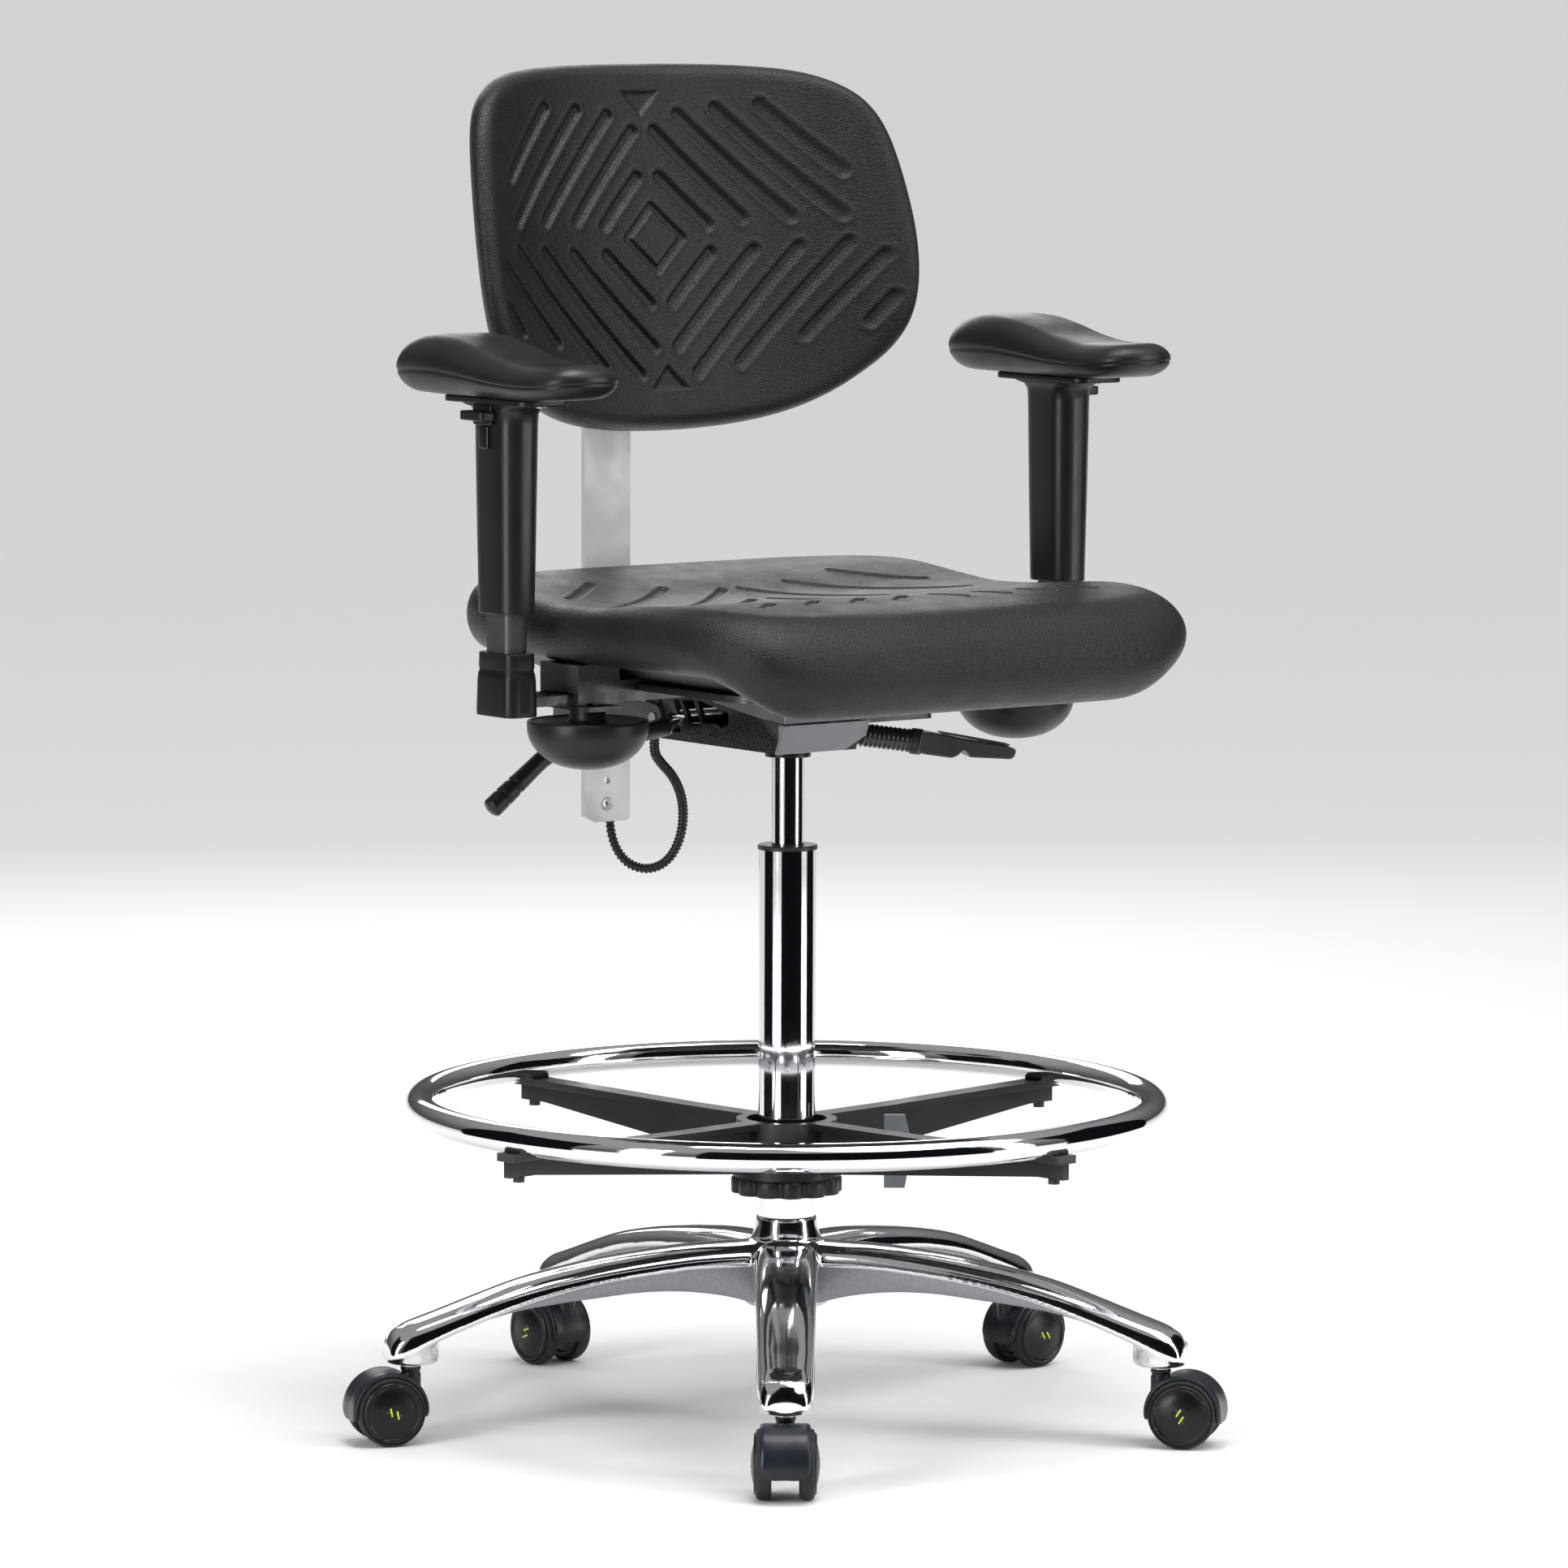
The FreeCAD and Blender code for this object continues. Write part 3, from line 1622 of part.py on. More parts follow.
def check(parts):
    doc.recompute()
    for obj in doc.Objects:
        if "Invalid" in obj.State or "Error" in obj.State:
            raise ValueError(obj.Name + " failed: " + str(obj.State))
    for part in parts:
        shape = part.Shape
        if shape.isNull() or not shape.isValid() or not shape.Solids:
            raise ValueError(part.Label + " has no valid solid")


def write(parts):
    os.makedirs("parts", exist_ok=True)
    for part in parts:
        part.Shape.exportStep(os.path.join("parts", part.Label + ".step"))
        print(part.Label, len(part.Shape.Solids), round(part.Shape.Volume / 1000, 1))


parts = make_base_parts() + make_casters() + make_ring_parts() + make_mechanism_parts()
parts = parts + make_seat_parts()
for hand, side in SIDES.items():
    parts = parts + make_arm(hand, side)
parts = parts + make_back_parts()
check(parts)
write(parts)
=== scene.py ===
import json
import math

import bmesh
import bpy
import numpy as np
from mathutils import Matrix, Vector


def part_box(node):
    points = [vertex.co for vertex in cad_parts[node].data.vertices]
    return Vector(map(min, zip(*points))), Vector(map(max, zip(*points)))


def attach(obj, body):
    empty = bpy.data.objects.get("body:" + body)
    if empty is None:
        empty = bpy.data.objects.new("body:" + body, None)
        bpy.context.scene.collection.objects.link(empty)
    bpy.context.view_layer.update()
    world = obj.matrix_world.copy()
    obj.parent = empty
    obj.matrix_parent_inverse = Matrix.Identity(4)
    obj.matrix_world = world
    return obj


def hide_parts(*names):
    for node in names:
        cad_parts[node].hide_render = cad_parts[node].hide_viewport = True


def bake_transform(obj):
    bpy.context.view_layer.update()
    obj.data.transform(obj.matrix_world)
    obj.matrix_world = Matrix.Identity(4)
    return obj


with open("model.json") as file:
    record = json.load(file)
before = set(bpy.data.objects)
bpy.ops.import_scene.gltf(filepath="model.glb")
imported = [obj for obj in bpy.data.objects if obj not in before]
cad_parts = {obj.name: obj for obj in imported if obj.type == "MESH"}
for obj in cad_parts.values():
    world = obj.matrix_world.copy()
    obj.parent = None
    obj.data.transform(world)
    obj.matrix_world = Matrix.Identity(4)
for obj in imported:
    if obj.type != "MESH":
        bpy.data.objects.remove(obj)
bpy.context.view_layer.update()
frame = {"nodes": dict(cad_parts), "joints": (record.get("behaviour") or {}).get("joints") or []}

# Drafting chair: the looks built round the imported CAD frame. Lengths are metres, and only the
# cable's route is in millimetres. The origin is on the floor under the column, +Z is up, and the
# chair faces -Y.

MM = 0.001
SIDES = {"left": 1, "right": -1}
CASTERS = ["front", "front_right", "back_right", "back_left", "front_left"]
JOINTS = {joint["name"]: joint for joint in frame["joints"]}
AXIS = 0.0001  # radius that stands for a point on the axis of a turned profile
UPRIGHT = Matrix(((1, 0, 0, 0), (0, 0, -1, 0), (0, 1, 0, 0), (0, 0, 0, 1)))


# ---------------------------------------------------------------- small helpers


def centre_of(name):
    low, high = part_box(name)
    return (low + high) / 2


def around(radius, angle):
    return radius * math.cos(angle), radius * math.sin(angle)


def steps_round(count):
    """Angles of an even number of steps round a circle."""
    return [2 * math.pi * k / count for k in range(count)]


def opposite(points):
    """The mirror image of a run of points, in the order that carries the outline on."""
    return [(-x, y) for x, y in reversed(points)]


def as_metres(place):
    return tuple(v * MM for v in place)


def smoothstep(t):
    t = np.clip(t, 0, 1)
    return t * t * (3 - 2 * t)


def curve_value(xs, ys, x):
    """Smooth curve through the points (xs, ys), read at x."""
    xs = np.array(xs, float)
    ys = np.array(ys, float)
    slopes = np.gradient(ys, xs)
    x = np.clip(x, xs[0], xs[-1])
    i = np.clip(np.searchsorted(xs, x) - 1, 0, len(xs) - 2)
    h = xs[i + 1] - xs[i]
    t = (x - xs[i]) / h
    rise = (-2 * t**3 + 3 * t**2) * (ys[i + 1] - ys[i])
    start = (t**3 - 2 * t**2 + t) * h * slopes[i]
    end = (t**3 - t**2) * h * slopes[i + 1]
    return ys[i] + rise + start + end


def new_object(name, data, material):
    obj = bpy.data.objects.new(name, data)
    bpy.context.scene.collection.objects.link(obj)
    if material is not None:
        obj.data.materials.append(material)
    return obj


def mesh_object(name, verts, faces, material, smooth=True):
    mesh = bpy.data.meshes.new(name)
    mesh.from_pydata([tuple(v) for v in verts], [], [tuple(f) for f in faces])
    mesh.polygons.foreach_set("use_smooth", [smooth] * len(mesh.polygons))
    mesh.update()
    return new_object(name, mesh, material)


def smooth_by_angle(obj, degrees):
    mesh = obj.data
    mesh.polygons.foreach_set("use_smooth", [True] * len(mesh.polygons))
    mesh.set_sharp_from_angle(angle=math.radians(degrees))


def bevel(obj, width, segments=3, degrees=35):
    modifier = obj.modifiers.new("edge_round", "BEVEL")
    modifier.width = width
    modifier.segments = segments
    modifier.limit_method = "ANGLE"
    modifier.angle_limit = math.radians(degrees)
    modifier.harden_normals = True
    return modifier


def finish_piece(obj, body, slot, *nodes):
    """Rides the piece on its body and hides the CAD nodes it stands for; the slot is not used."""
    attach(obj, body)
    if nodes:
        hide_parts(*nodes)


def lathe(name, profile, material, steps=96):
    """Surface of revolution about Z. The profile holds (radius, z) points in order."""
    verts = [(*around(radius, angle), z) for angle in steps_round(steps) for radius, z in profile]
    faces = []
    count = len(profile)
    for step in range(steps):
        after = (step + 1) % steps
        for k in range(count - 1):
            faces.append(
                (step * count + k, after * count + k, after * count + k + 1, step * count + k + 1)
            )
    obj = mesh_object(name, verts, faces, material)
    weld(obj)
    return obj


def weld(obj, distance=1e-6):
    work = bmesh.new()
    work.from_mesh(obj.data)
    bmesh.ops.remove_doubles(work, verts=work.verts, dist=distance)
    bmesh.ops.dissolve_degenerate(work, edges=work.edges, dist=distance)
    bmesh.ops.recalc_face_normals(work, faces=work.faces)
    work.to_mesh(obj.data)
    work.free()
    obj.data.update()


def rounded(points, radius, steps=4):
    """A profile or outline whose inner corners are rounded by about the radius."""
    result = [points[0]]
    for before, corner, after in zip(points, points[1:], points[2:]):
        before, corner, after = Vector(before), Vector(corner), Vector(after)
        reach_in = min(radius, (before - corner).length * 0.45)
        reach_out = min(radius, (after - corner).length * 0.45)
        start = corner + (before - corner).normalized() * reach_in
        end = corner + (after - corner).normalized() * reach_out
        for k in range(steps + 1):
            t = k / steps
            point = start * (1 - t) ** 2 + corner * 2 * t * (1 - t) + end * t * t
            result.append(tuple(point))
    result.append(points[-1])
    return result


def slab(name, outline, low, high, material, round_width=0, segments=3):
    """A flat outline in XY raised from low to high, its edges rounded."""
    work = bmesh.new()
    ring = [work.verts.new((x, y, low)) for x, y in outline]
    face = work.faces.new(ring)
    grown = bmesh.ops.extrude_face_region(work, geom=[face])
    raised = [v for v in grown["geom"] if isinstance(v, bmesh.types.BMVert)]
    bmesh.ops.translate(work, verts=raised, vec=(0, 0, high - low))
    bmesh.ops.recalc_face_normals(work, faces=work.faces)
    mesh = bpy.data.meshes.new(name)
    work.to_mesh(mesh)
    work.free()
    obj = new_object(name, mesh, material)
    smooth_by_angle(obj, 40)
    if round_width:
        bevel(obj, round_width, segments)
    return obj


def loft(name, sections, material, closed_ends=True):
    """Skin over closed sections that all have the same number of points."""
    count = len(sections[0])
    verts = [p for section in sections for p in section]
    faces = []
    for s in range(len(sections) - 1):
        for k in range(count):
            after = (k + 1) % count
            a = s * count
            b = a + count
            faces.append((a + k, a + after, b + after, b + k))
    if closed_ends:
        faces.append(tuple(range(count - 1, -1, -1)))
        last = (len(sections) - 1) * count
        faces.append(tuple(last + k for k in range(count)))
    obj = mesh_object(name, verts, faces, material)
    weld(obj)
    return obj


def tube(name, points, radii, material, sides):
    """Round tube along points, with a radius at each."""
    points = [Vector(p) for p in points]
    tangent = (points[1] - points[0]).normalized()
    side = tangent.orthogonal().normalized()
    sections = []
    for index, point in enumerate(points):
        before = points[max(index - 1, 0)]
        after = points[min(index + 1, len(points) - 1)]
        tangent = (after - before).normalized()
        side = (side - tangent * side.dot(tangent)).normalized()
        other = tangent.cross(side)
        sections.append(
            [
                point + (side * math.cos(angle) + other * math.sin(angle)) * radii[index]
                for angle in steps_round(sides)
            ]
        )
    return loft(name, sections, material)


def join(name, objects):
    """One object from several, which keep their own materials."""
    graph = bpy.context.evaluated_depsgraph_get()
    work = bmesh.new()
    materials = []
    for obj in objects:
        graph.update()
        mesh = bpy.data.meshes.new_from_object(obj.evaluated_get(graph))
        mesh.transform(obj.matrix_world)
        slots = []
        for material in mesh.materials:
            if material not in materials:
                materials.append(material)
            slots.append(materials.index(material))
        for polygon in mesh.polygons:
            polygon.material_index = slots[polygon.material_index] if slots else 0
        work.from_mesh(mesh)
        bpy.data.meshes.remove(mesh)
        bpy.data.objects.remove(obj)
    mesh = bpy.data.meshes.new(name)
    work.to_mesh(mesh)
    work.free()
    for material in materials:
        mesh.materials.append(material)
    return new_object(name, mesh, None)


def place_mesh(obj, matrix):
    obj.data.transform(matrix)
    obj.data.update()
    return obj


# ---------------------------------------------------------------- materials


class Nodes:
    """Short way to build a material's node tree."""

    def __init__(self, name):
        self.material = bpy.data.materials.new(name)
        self.material.use_nodes = True
        self.tree = self.material.node_tree
        self.shader = self.tree.nodes["Principled BSDF"]
        coordinates = self.tree.nodes.new("ShaderNodeTexCoord")
        self.place = coordinates.outputs["Object"]

    def add(self, kind, **values):
        node = self.tree.nodes.new(kind)
        for key, value in values.items():
            if hasattr(node, key):
                setattr(node, key, value)
            else:
                node.inputs[key].default_value = value
        return node

    def link(self, out, into):
        self.tree.links.new(out, into)

    def noise(self, scale, detail=2.0, roughness=0.5, stretch=None):
        noise = self.add("ShaderNodeTexNoise", Scale=scale, Detail=detail, Roughness=roughness)
        if stretch is None:
            self.link(self.place, noise.inputs["Vector"])
        else:
            mapping = self.add("ShaderNodeMapping")
            mapping.inputs["Scale"].default_value = stretch
            self.link(self.place, mapping.inputs["Vector"])
            self.link(mapping.outputs["Vector"], noise.inputs["Vector"])
        return noise.outputs["Fac"]

    def cells(self, scale, feature="F1"):
        cells = self.add("ShaderNodeTexVoronoi", feature=feature, Scale=scale)
        self.link(self.place, cells.inputs["Vector"])
        return cells.outputs["Distance"]

    def spread(self, value, low, high, from_low=0.3, from_high=0.7):
        node = self.add("ShaderNodeMapRange")
        limits = {"From Min": from_low, "From Max": from_high, "To Min": low, "To Max": high}
        for socket, limit in limits.items():
            node.inputs[socket].default_value = limit
        self.link(value, node.inputs["Value"])
        return node.outputs["Result"]

    def mix(self, factor, first, second):
        node = self.add("ShaderNodeMix", data_type="RGBA")
        self.link(factor, node.inputs["Factor"])
        for value, socket in ((first, node.inputs[6]), (second, node.inputs[7])):
            if isinstance(value, bpy.types.NodeSocket):
                self.link(value, socket)
            else:
                socket.default_value = (*value, 1)
        return node.outputs[2]

    def bump(self, height, distance, strength=1.0, under=None):
        node = self.add("ShaderNodeBump", Strength=strength, Distance=distance)
        self.link(height, node.inputs["Height"])
        if under is not None:
            self.link(under, node.inputs["Normal"])
        return node.outputs["Normal"]

    def worn_edges(self, start=0.53, end=0.60):
        """1 on sharp outer edges and 0 on flats."""
        geometry = self.add("ShaderNodeNewGeometry")
        return self.spread(geometry.outputs["Pointiness"], 0, 1, start, end)


def moulded(name, dark, light, rough, grain, depth, coat=0.0, worn=None, worn_limits=(0.53, 0.62)):
    """Moulded plastic or foam skin: pebbled grain, slight blotches, worn edges."""
    n = Nodes(name)
    blotch = n.spread(n.noise(14, 4, 0.6), 0, 1)
    colour = n.mix(blotch, dark, light)
    if worn is not None:
        colour = n.mix(n.worn_edges(*worn_limits), colour, worn)
    n.link(colour, n.shader.inputs["Base Color"])
    pebbles = n.cells(grain, "SMOOTH_F1")
    fine = n.noise(grain * 1.7, 2, 0.6)
    n.link(n.spread(n.noise(38, 3), rough - 0.05, rough + 0.06), n.shader.inputs["Roughness"])
    normal = n.bump(pebbles, depth)
    n.link(n.bump(fine, depth * 0.5, under=normal), n.shader.inputs["Normal"])
    n.shader.inputs["Coat Weight"].default_value = coat
    n.shader.inputs["Coat Roughness"].default_value = 0.3
    n.shader.inputs["Specular IOR Level"].default_value = 0.30
    return n.material


def polished(name, colour, rough, scratch_stretch, wave=0.0):
    """Bright metal with fine scratches, faint smears and a slight waviness."""
    n = Nodes(name)
    smear = n.spread(n.noise(9, 3, 0.55), 0, 1)
    tint = tuple(c * 0.93 for c in colour)
    n.link(n.mix(smear, colour, tint), n.shader.inputs["Base Color"])
    scratches = n.noise(700, 3, 0.7, scratch_stretch)
    n.link(n.spread(scratches, rough * 0.7, rough * 1.6, 0.25, 0.75), n.shader.inputs["Roughness"])
    normal = n.bump(scratches, 0.000006)
    if wave:
        normal = n.bump(n.noise(22, 1, 0.4), wave, under=normal)
    n.link(normal, n.shader.inputs["Normal"])
    n.shader.inputs["Metallic"].default_value = 1.0
    return n.material


def painted(name, dark, light, rough, grain, depth, worn):
    """Powder-coated or hammered steel: orange peel, chips and rubbed edges."""
    n = Nodes(name)
    blotch = n.spread(n.noise(20, 4, 0.6), 0, 1)
    colour = n.mix(blotch, dark, light)
    colour = n.mix(n.worn_edges(0.54, 0.66), colour, worn)
    n.link(colour, n.shader.inputs["Base Color"])
    peel = n.noise(grain, 3, 0.55)
    n.link(n.spread(n.noise(60, 3), rough - 0.06, rough + 0.08), n.shader.inputs["Roughness"])
    n.link(n.bump(peel, depth), n.shader.inputs["Normal"])
    n.shader.inputs["Specular IOR Level"].default_value = 0.34
    return n.material


def brushed(name, dark, light, rough, stretch):
    """Satin metal with a direction to its grain."""
    n = Nodes(name)
    lines = n.noise(420, 4, 0.7, stretch)
    streak = n.spread(lines, 0, 1, 0.3, 0.7)
    n.link(n.mix(streak, dark, light), n.shader.inputs["Base Color"])
    n.link(n.spread(lines, rough - 0.05, rough + 0.1), n.shader.inputs["Roughness"])
    n.link(n.bump(lines, 0.00001), n.shader.inputs["Normal"])
    n.shader.inputs["Metallic"].default_value = 1.0
    return n.material


# Each row: key, name, dark colour, light colour, roughness, grain, grain depth and extras.
MOULDED = [
    ("skin", "foam_skin", (0.0065, 0.007, 0.008), (0.0105, 0.011, 0.0122), 0.40, 780, 0.00060,
     {"worn": (0.022, 0.023, 0.025)}),
    ("arm_skin", "arm_skin", (0.0075, 0.0078, 0.008), (0.0115, 0.0118, 0.012), 0.38, 1500, 0.00007, {}),
    # Darker, duller black for the patch on the boot's notch: painted shade in the opening.
    ("painted_notch_shade", "pad_seam", (0.003, 0.003, 0.003), (0.005, 0.005, 0.005), 0.6, 1500, 0.00003, {}),
    ("black", "black_plastic", (0.006, 0.006, 0.0064), (0.0095, 0.0096, 0.010), 0.38, 1800, 0.00007,
     {"worn": (0.04, 0.041, 0.043)}),
    ("post", "post_plastic", (0.008, 0.0083, 0.0086), (0.012, 0.0123, 0.0127), 0.34, 1700, 0.00005, {}),
    ("gloss", "gloss_black", (0.006, 0.006, 0.0065), (0.01, 0.01, 0.011), 0.2, 1800, 0.00002,
     {"coat": 0.4}),
    ("hood", "caster_hood", (0.008, 0.011, 0.0145), (0.013, 0.0165, 0.021), 0.30, 1500, 0.00006,
     {"worn": (0.05, 0.055, 0.062)}),
    ("wheel", "caster_wheel", (0.004, 0.0045, 0.005), (0.007, 0.0076, 0.0085), 0.30, 1200, 0.00008,
     {"worn": (0.06, 0.064, 0.07), "worn_limits": (0.52, 0.56)}),
    ("tread", "caster_tread", (0.011, 0.011, 0.0115), (0.022, 0.022, 0.023), 0.6, 700, 0.00015, {}),
    ("mark", "tick_mark", (0.5, 0.6, 0.03), (0.6, 0.7, 0.05), 0.45, 900, 0.00004, {}),
    ("grey", "grey_plastic", (0.13, 0.142, 0.155), (0.165, 0.178, 0.192), 0.45, 1300, 0.00008, {}),
    ("lever", "lever_plastic", (0.022, 0.0235, 0.025), (0.034, 0.036, 0.038), 0.36, 1400, 0.00008,
     {"worn": (0.12, 0.125, 0.13)}),
    ("conduit", "conduit", (0.008, 0.008, 0.0085), (0.014, 0.014, 0.015), 0.34, 1600, 0.00004, {}),
    ("bar", "anodised_bar", (0.46, 0.46, 0.458), (0.51, 0.51, 0.507), 0.46, 1600, 0.00003, {}),
]
# Each row: key, name, dark colour, light colour, roughness, grain, grain depth and rubbed colour.
PAINTED = [
    ("channel", "hammered_black", (0.004, 0.0043, 0.0046), (0.008, 0.0083, 0.0087), 0.26, 420, 0.0005,
     (0.05, 0.05, 0.052)),
    ("casting", "grey_casting", (0.032, 0.038, 0.044), (0.048, 0.056, 0.064), 0.42, 900, 0.00020,
     (0.2, 0.21, 0.22)),
    ("black_paint", "black_paint", (0.005, 0.005, 0.0053), (0.0085, 0.0085, 0.009), 0.28, 1100, 0.00008,
     (0.06, 0.06, 0.062)),
]
BAR_METALLIC = 0.35


def make_materials():
    made = {}
    for key, *look, extras in MOULDED:
        made[key] = moulded(*look, **extras)
    for key, *look in PAINTED:
        made[key] = painted(*look)
    made["chrome"] = polished("chrome", (0.83, 0.84, 0.86), 0.045, (1, 1, 0.08))
    made["rod"] = polished("bright_rod", (0.78, 0.79, 0.80), 0.08, (1, 1, 0.04))
    made["cast"] = polished("polished_cast", (0.80, 0.81, 0.83), 0.075, (1, 1, 1), wave=0.00035)
    made["raw"] = brushed("cast_inside", (0.30, 0.31, 0.33), (0.42, 0.43, 0.45), 0.5, (1, 1, 1))
    made["steel"] = brushed("plain_steel", (0.42, 0.42, 0.43), (0.55, 0.55, 0.56), 0.32, (1, 1, 0.2))
    bar_shader = made["bar"].node_tree.nodes["Principled BSDF"]
    bar_shader.inputs["Metallic"].default_value = BAR_METALLIC
    return made


# ---------------------------------------------------------------- camera, light and floor


def make_camera():
    """Long lens at the sitter's front right, a little above the seat."""
    azimuth = 0.6421
    distance = 7.3805
    height = 1.35395
    pitch = 0.1071
    roll = 0.0036
    camera = bpy.data.cameras.new("camera")
    camera.sensor_width = 36
    camera.lens = 196.33
    camera.shift_x = -0.00246
    camera.clip_end = 2000
    obj = new_object("camera", camera, None)
    obj.location = (-distance * math.sin(azimuth), -distance * math.cos(azimuth), height)
    level = math.cos(pitch)
    look = Vector((math.sin(azimuth) * level, math.cos(azimuth) * level, -math.sin(pitch)))
    obj.rotation_mode = "QUATERNION"
    turn = look.to_track_quat("-Z", "Y")
    obj.rotation_quaternion = turn @ Matrix.Rotation(roll, 3, "Z").to_quaternion()
    bpy.context.scene.camera = obj


# Each row: name, place, point it faces, width, height and power.
AREA_LIGHTS = [
    ("light_top", (-0.3, -0.2, 3.0), (0, 0, 0.5), 1.2, 1.2, 46),
    ("light_left", (-3.34, -0.65, 1.3), (0, 0, 0.6), 0.7, 2.4, 70),
    ("light_right", (2.01, -2.98, 1.3), (0, 0, 0.6), 0.6, 2.4, 56),
    ("light_back", (1.8, 3.2, 2.0), (0, 0, 0.6), 2.0, 1.6, 26),
]
SUN_TILT = (math.radians(24), math.radians(14), 0)
FLOOR_REACH = 400
FLOOR_SIDES = 64
FLOOR_ALBEDO = 0.84
# Curved dark cards: name and the first and last angle from the camera's side, anticlockwise.
DARK_ARCS = [("card_front", -24, 58), ("card_left", -104, -60), ("card_right", 84, 126)]
CARD_RADIUS = 1.6
CARD_LOW = 0.002  # just clear of the floor
CARD_HIGH = 1.5
CARD_STEPS = 16
CAMERA_AZIMUTH = 233.2


def area_light(name, place, target, width, height, power):
    light = bpy.data.lights.new(name, "AREA")
    light.shape = "RECTANGLE"
    light.size = width
    light.size_y = height
    light.energy = power
    obj = new_object(name, light, None)
    obj.location = place
    obj.rotation_mode = "QUATERNION"
    obj.rotation_quaternion = (Vector(target) - Vector(place)).to_track_quat("-Z", "Y")


def stage_material(name, colour, rough, specular):
    material = bpy.data.materials.new(name)
    material.use_nodes = True
    shader = material.node_tree.nodes["Principled BSDF"]
    shader.inputs["Base Color"].default_value = (*colour, 1)
    shader.inputs["Roughness"].default_value = rough
    shader.inputs["Specular IOR Level"].default_value = specular
    return material


def make_studio():
    pale = stage_material("studio_floor", (FLOOR_ALBEDO,) * 3, 0.9, 0.1)
    ring = [(*around(FLOOR_REACH, angle), 0) for angle in steps_round(FLOOR_SIDES)]
    floor = mesh_object("floor", ring, [tuple(range(FLOOR_SIDES))], pale, False)
    make_world()
    bpy.context.scene.view_settings.view_transform = "Standard"
    sun = bpy.data.lights.new("soft_sun", "SUN")
    sun.energy = 1.75
    sun.angle = math.radians(50)
    new_object("soft_sun", sun, None).rotation_euler = SUN_TILT
    for row in AREA_LIGHTS:
        area_light(*row)
    for row in DARK_ARCS:
        dark_arc(*row)


def dark_arc(name, start, end):
    """Curved black card round the chair that only mirrors see, as set up to shoot chrome."""
    verts = []
    faces = []
    for k in range(CARD_STEPS + 1):
        angle = math.radians(CAMERA_AZIMUTH + start + (end - start) * k / CARD_STEPS)
        for z in (CARD_LOW, CARD_HIGH):
            verts.append((*around(CARD_RADIUS, angle), z))
        if k:
            faces.append((2 * k - 2, 2 * k, 2 * k + 1, 2 * k - 1))
    obj = mesh_object(name, verts, faces, stage_material(name, (0.004, 0.005, 0.006), 1, 0), False)
    obj.visible_camera = False
    obj.visible_diffuse = False
    obj.visible_shadow = False
    obj.visible_transmission = False


def make_world():
    """Pale sky, dimmer towards the horizon, so that dark mouldings keep their contrast."""
    world = bpy.data.worlds.new("studio")
    world.use_nodes = True
    tree = world.node_tree
    background = tree.nodes["Background"]
    place = tree.nodes.new("ShaderNodeTexCoord")
    split = tree.nodes.new("ShaderNodeSeparateXYZ")
    ramp = tree.nodes.new("ShaderNodeMapRange")
    ramp.interpolation_type = "SMOOTHSTEP"
    limits = {"From Min": 0.02, "From Max": 0.75, "To Min": 0.08, "To Max": 0.34}
    for socket, value in limits.items():
        ramp.inputs[socket].default_value = value
    tree.links.new(place.outputs["Generated"], split.inputs["Vector"])
    tree.links.new(split.outputs["Z"], ramp.inputs["Value"])
    tree.links.new(ramp.outputs["Result"], background.inputs["Strength"])
    background.inputs["Color"].default_value = (1.0, 1.0, 1.0, 1)
    bpy.context.scene.world = world


# ---------------------------------------------------------------- moulded foam


def disc_grid(nx, ny):
    """Even grid over a disc, as (angle, radius), with its quads and its boundary loop."""
    a, b = np.meshgrid(np.linspace(-1, 1, nx + 1), np.linspace(-1, 1, ny + 1))
    wide = np.abs(a) > np.abs(b)
    safe_a = np.where(a == 0, 1, a)
    safe_b = np.where(b == 0, 1, b)
    radius = np.where(wide, a, b)
    angle = np.where(wide, (math.pi / 4) * b / safe_a, math.pi / 2 - (math.pi / 4) * a / safe_b)
    angle = np.where(radius < 0, angle + math.pi, angle)
    radius = np.abs(radius)
    row = nx + 1
    faces = []
    for j in range(ny):
        for i in range(nx):
            k = j * row + i
            faces.append((k, k + 1, k + row + 1, k + row))
    loop = list(range(nx))
    loop += [j * row + nx for j in range(ny)]
    loop += [ny * row + i for i in range(nx, 0, -1)]
    loop += [j * row for j in range(ny, 0, -1)]
    return angle.ravel() % (2 * math.pi), radius.ravel(), faces, loop


class Outline:
    """Closed smooth outline round the origin, read by angle."""

    def __init__(self, points):
        count = len(points)
        points = np.array(points, float)
        samples = []
        for k in range(count):
            p0, p1, p2, p3 = (points[(k + d) % count] for d in (-1, 0, 1, 2))
            for t in np.linspace(0, 1, 40, endpoint=False):
                weights = (
                    (1 - t) ** 3 / 6, (3 * t**3 - 6 * t**2 + 4) / 6,
                    (-3 * t**3 + 3 * t**2 + 3 * t + 1) / 6, t**3 / 6,
                )
                samples.append(weights[0] * p0 + weights[1] * p1 + weights[2] * p2 + weights[3] * p3)
        samples = np.array(samples)
        angles = np.arctan2(samples[:, 1], samples[:, 0]) % (2 * math.pi)
        order = np.argsort(angles)
        self.angles = angles[order]
        self.radii = np.hypot(samples[:, 0], samples[:, 1])[order]

    def point(self, angle):
        radius = np.interp(angle, self.angles, self.radii, period=2 * math.pi)
        return np.stack([radius * np.cos(angle), radius * np.sin(angle)], -1)

    def normal(self, angle):
        step = 0.01
        along = self.point(angle + step) - self.point(angle - step)
        along /= np.linalg.norm(along, axis=-1, keepdims=True)
        return np.stack([along[..., 1], -along[..., 0]], -1)


def add_ring(faces, before, first):
    """Quads from the ring before to a new ring of points that starts at index first."""
    count = len(before)
    ring = list(range(first, first + count))
    for k in range(count):
        after = (k + 1) % count
        faces.append((before[k], ring[k], ring[after], before[after]))
    return ring


def even_rim(reach):
    """A rim that reaches in by the same amount all the way round."""
    return lambda angle: np.full(np.shape(angle), reach)


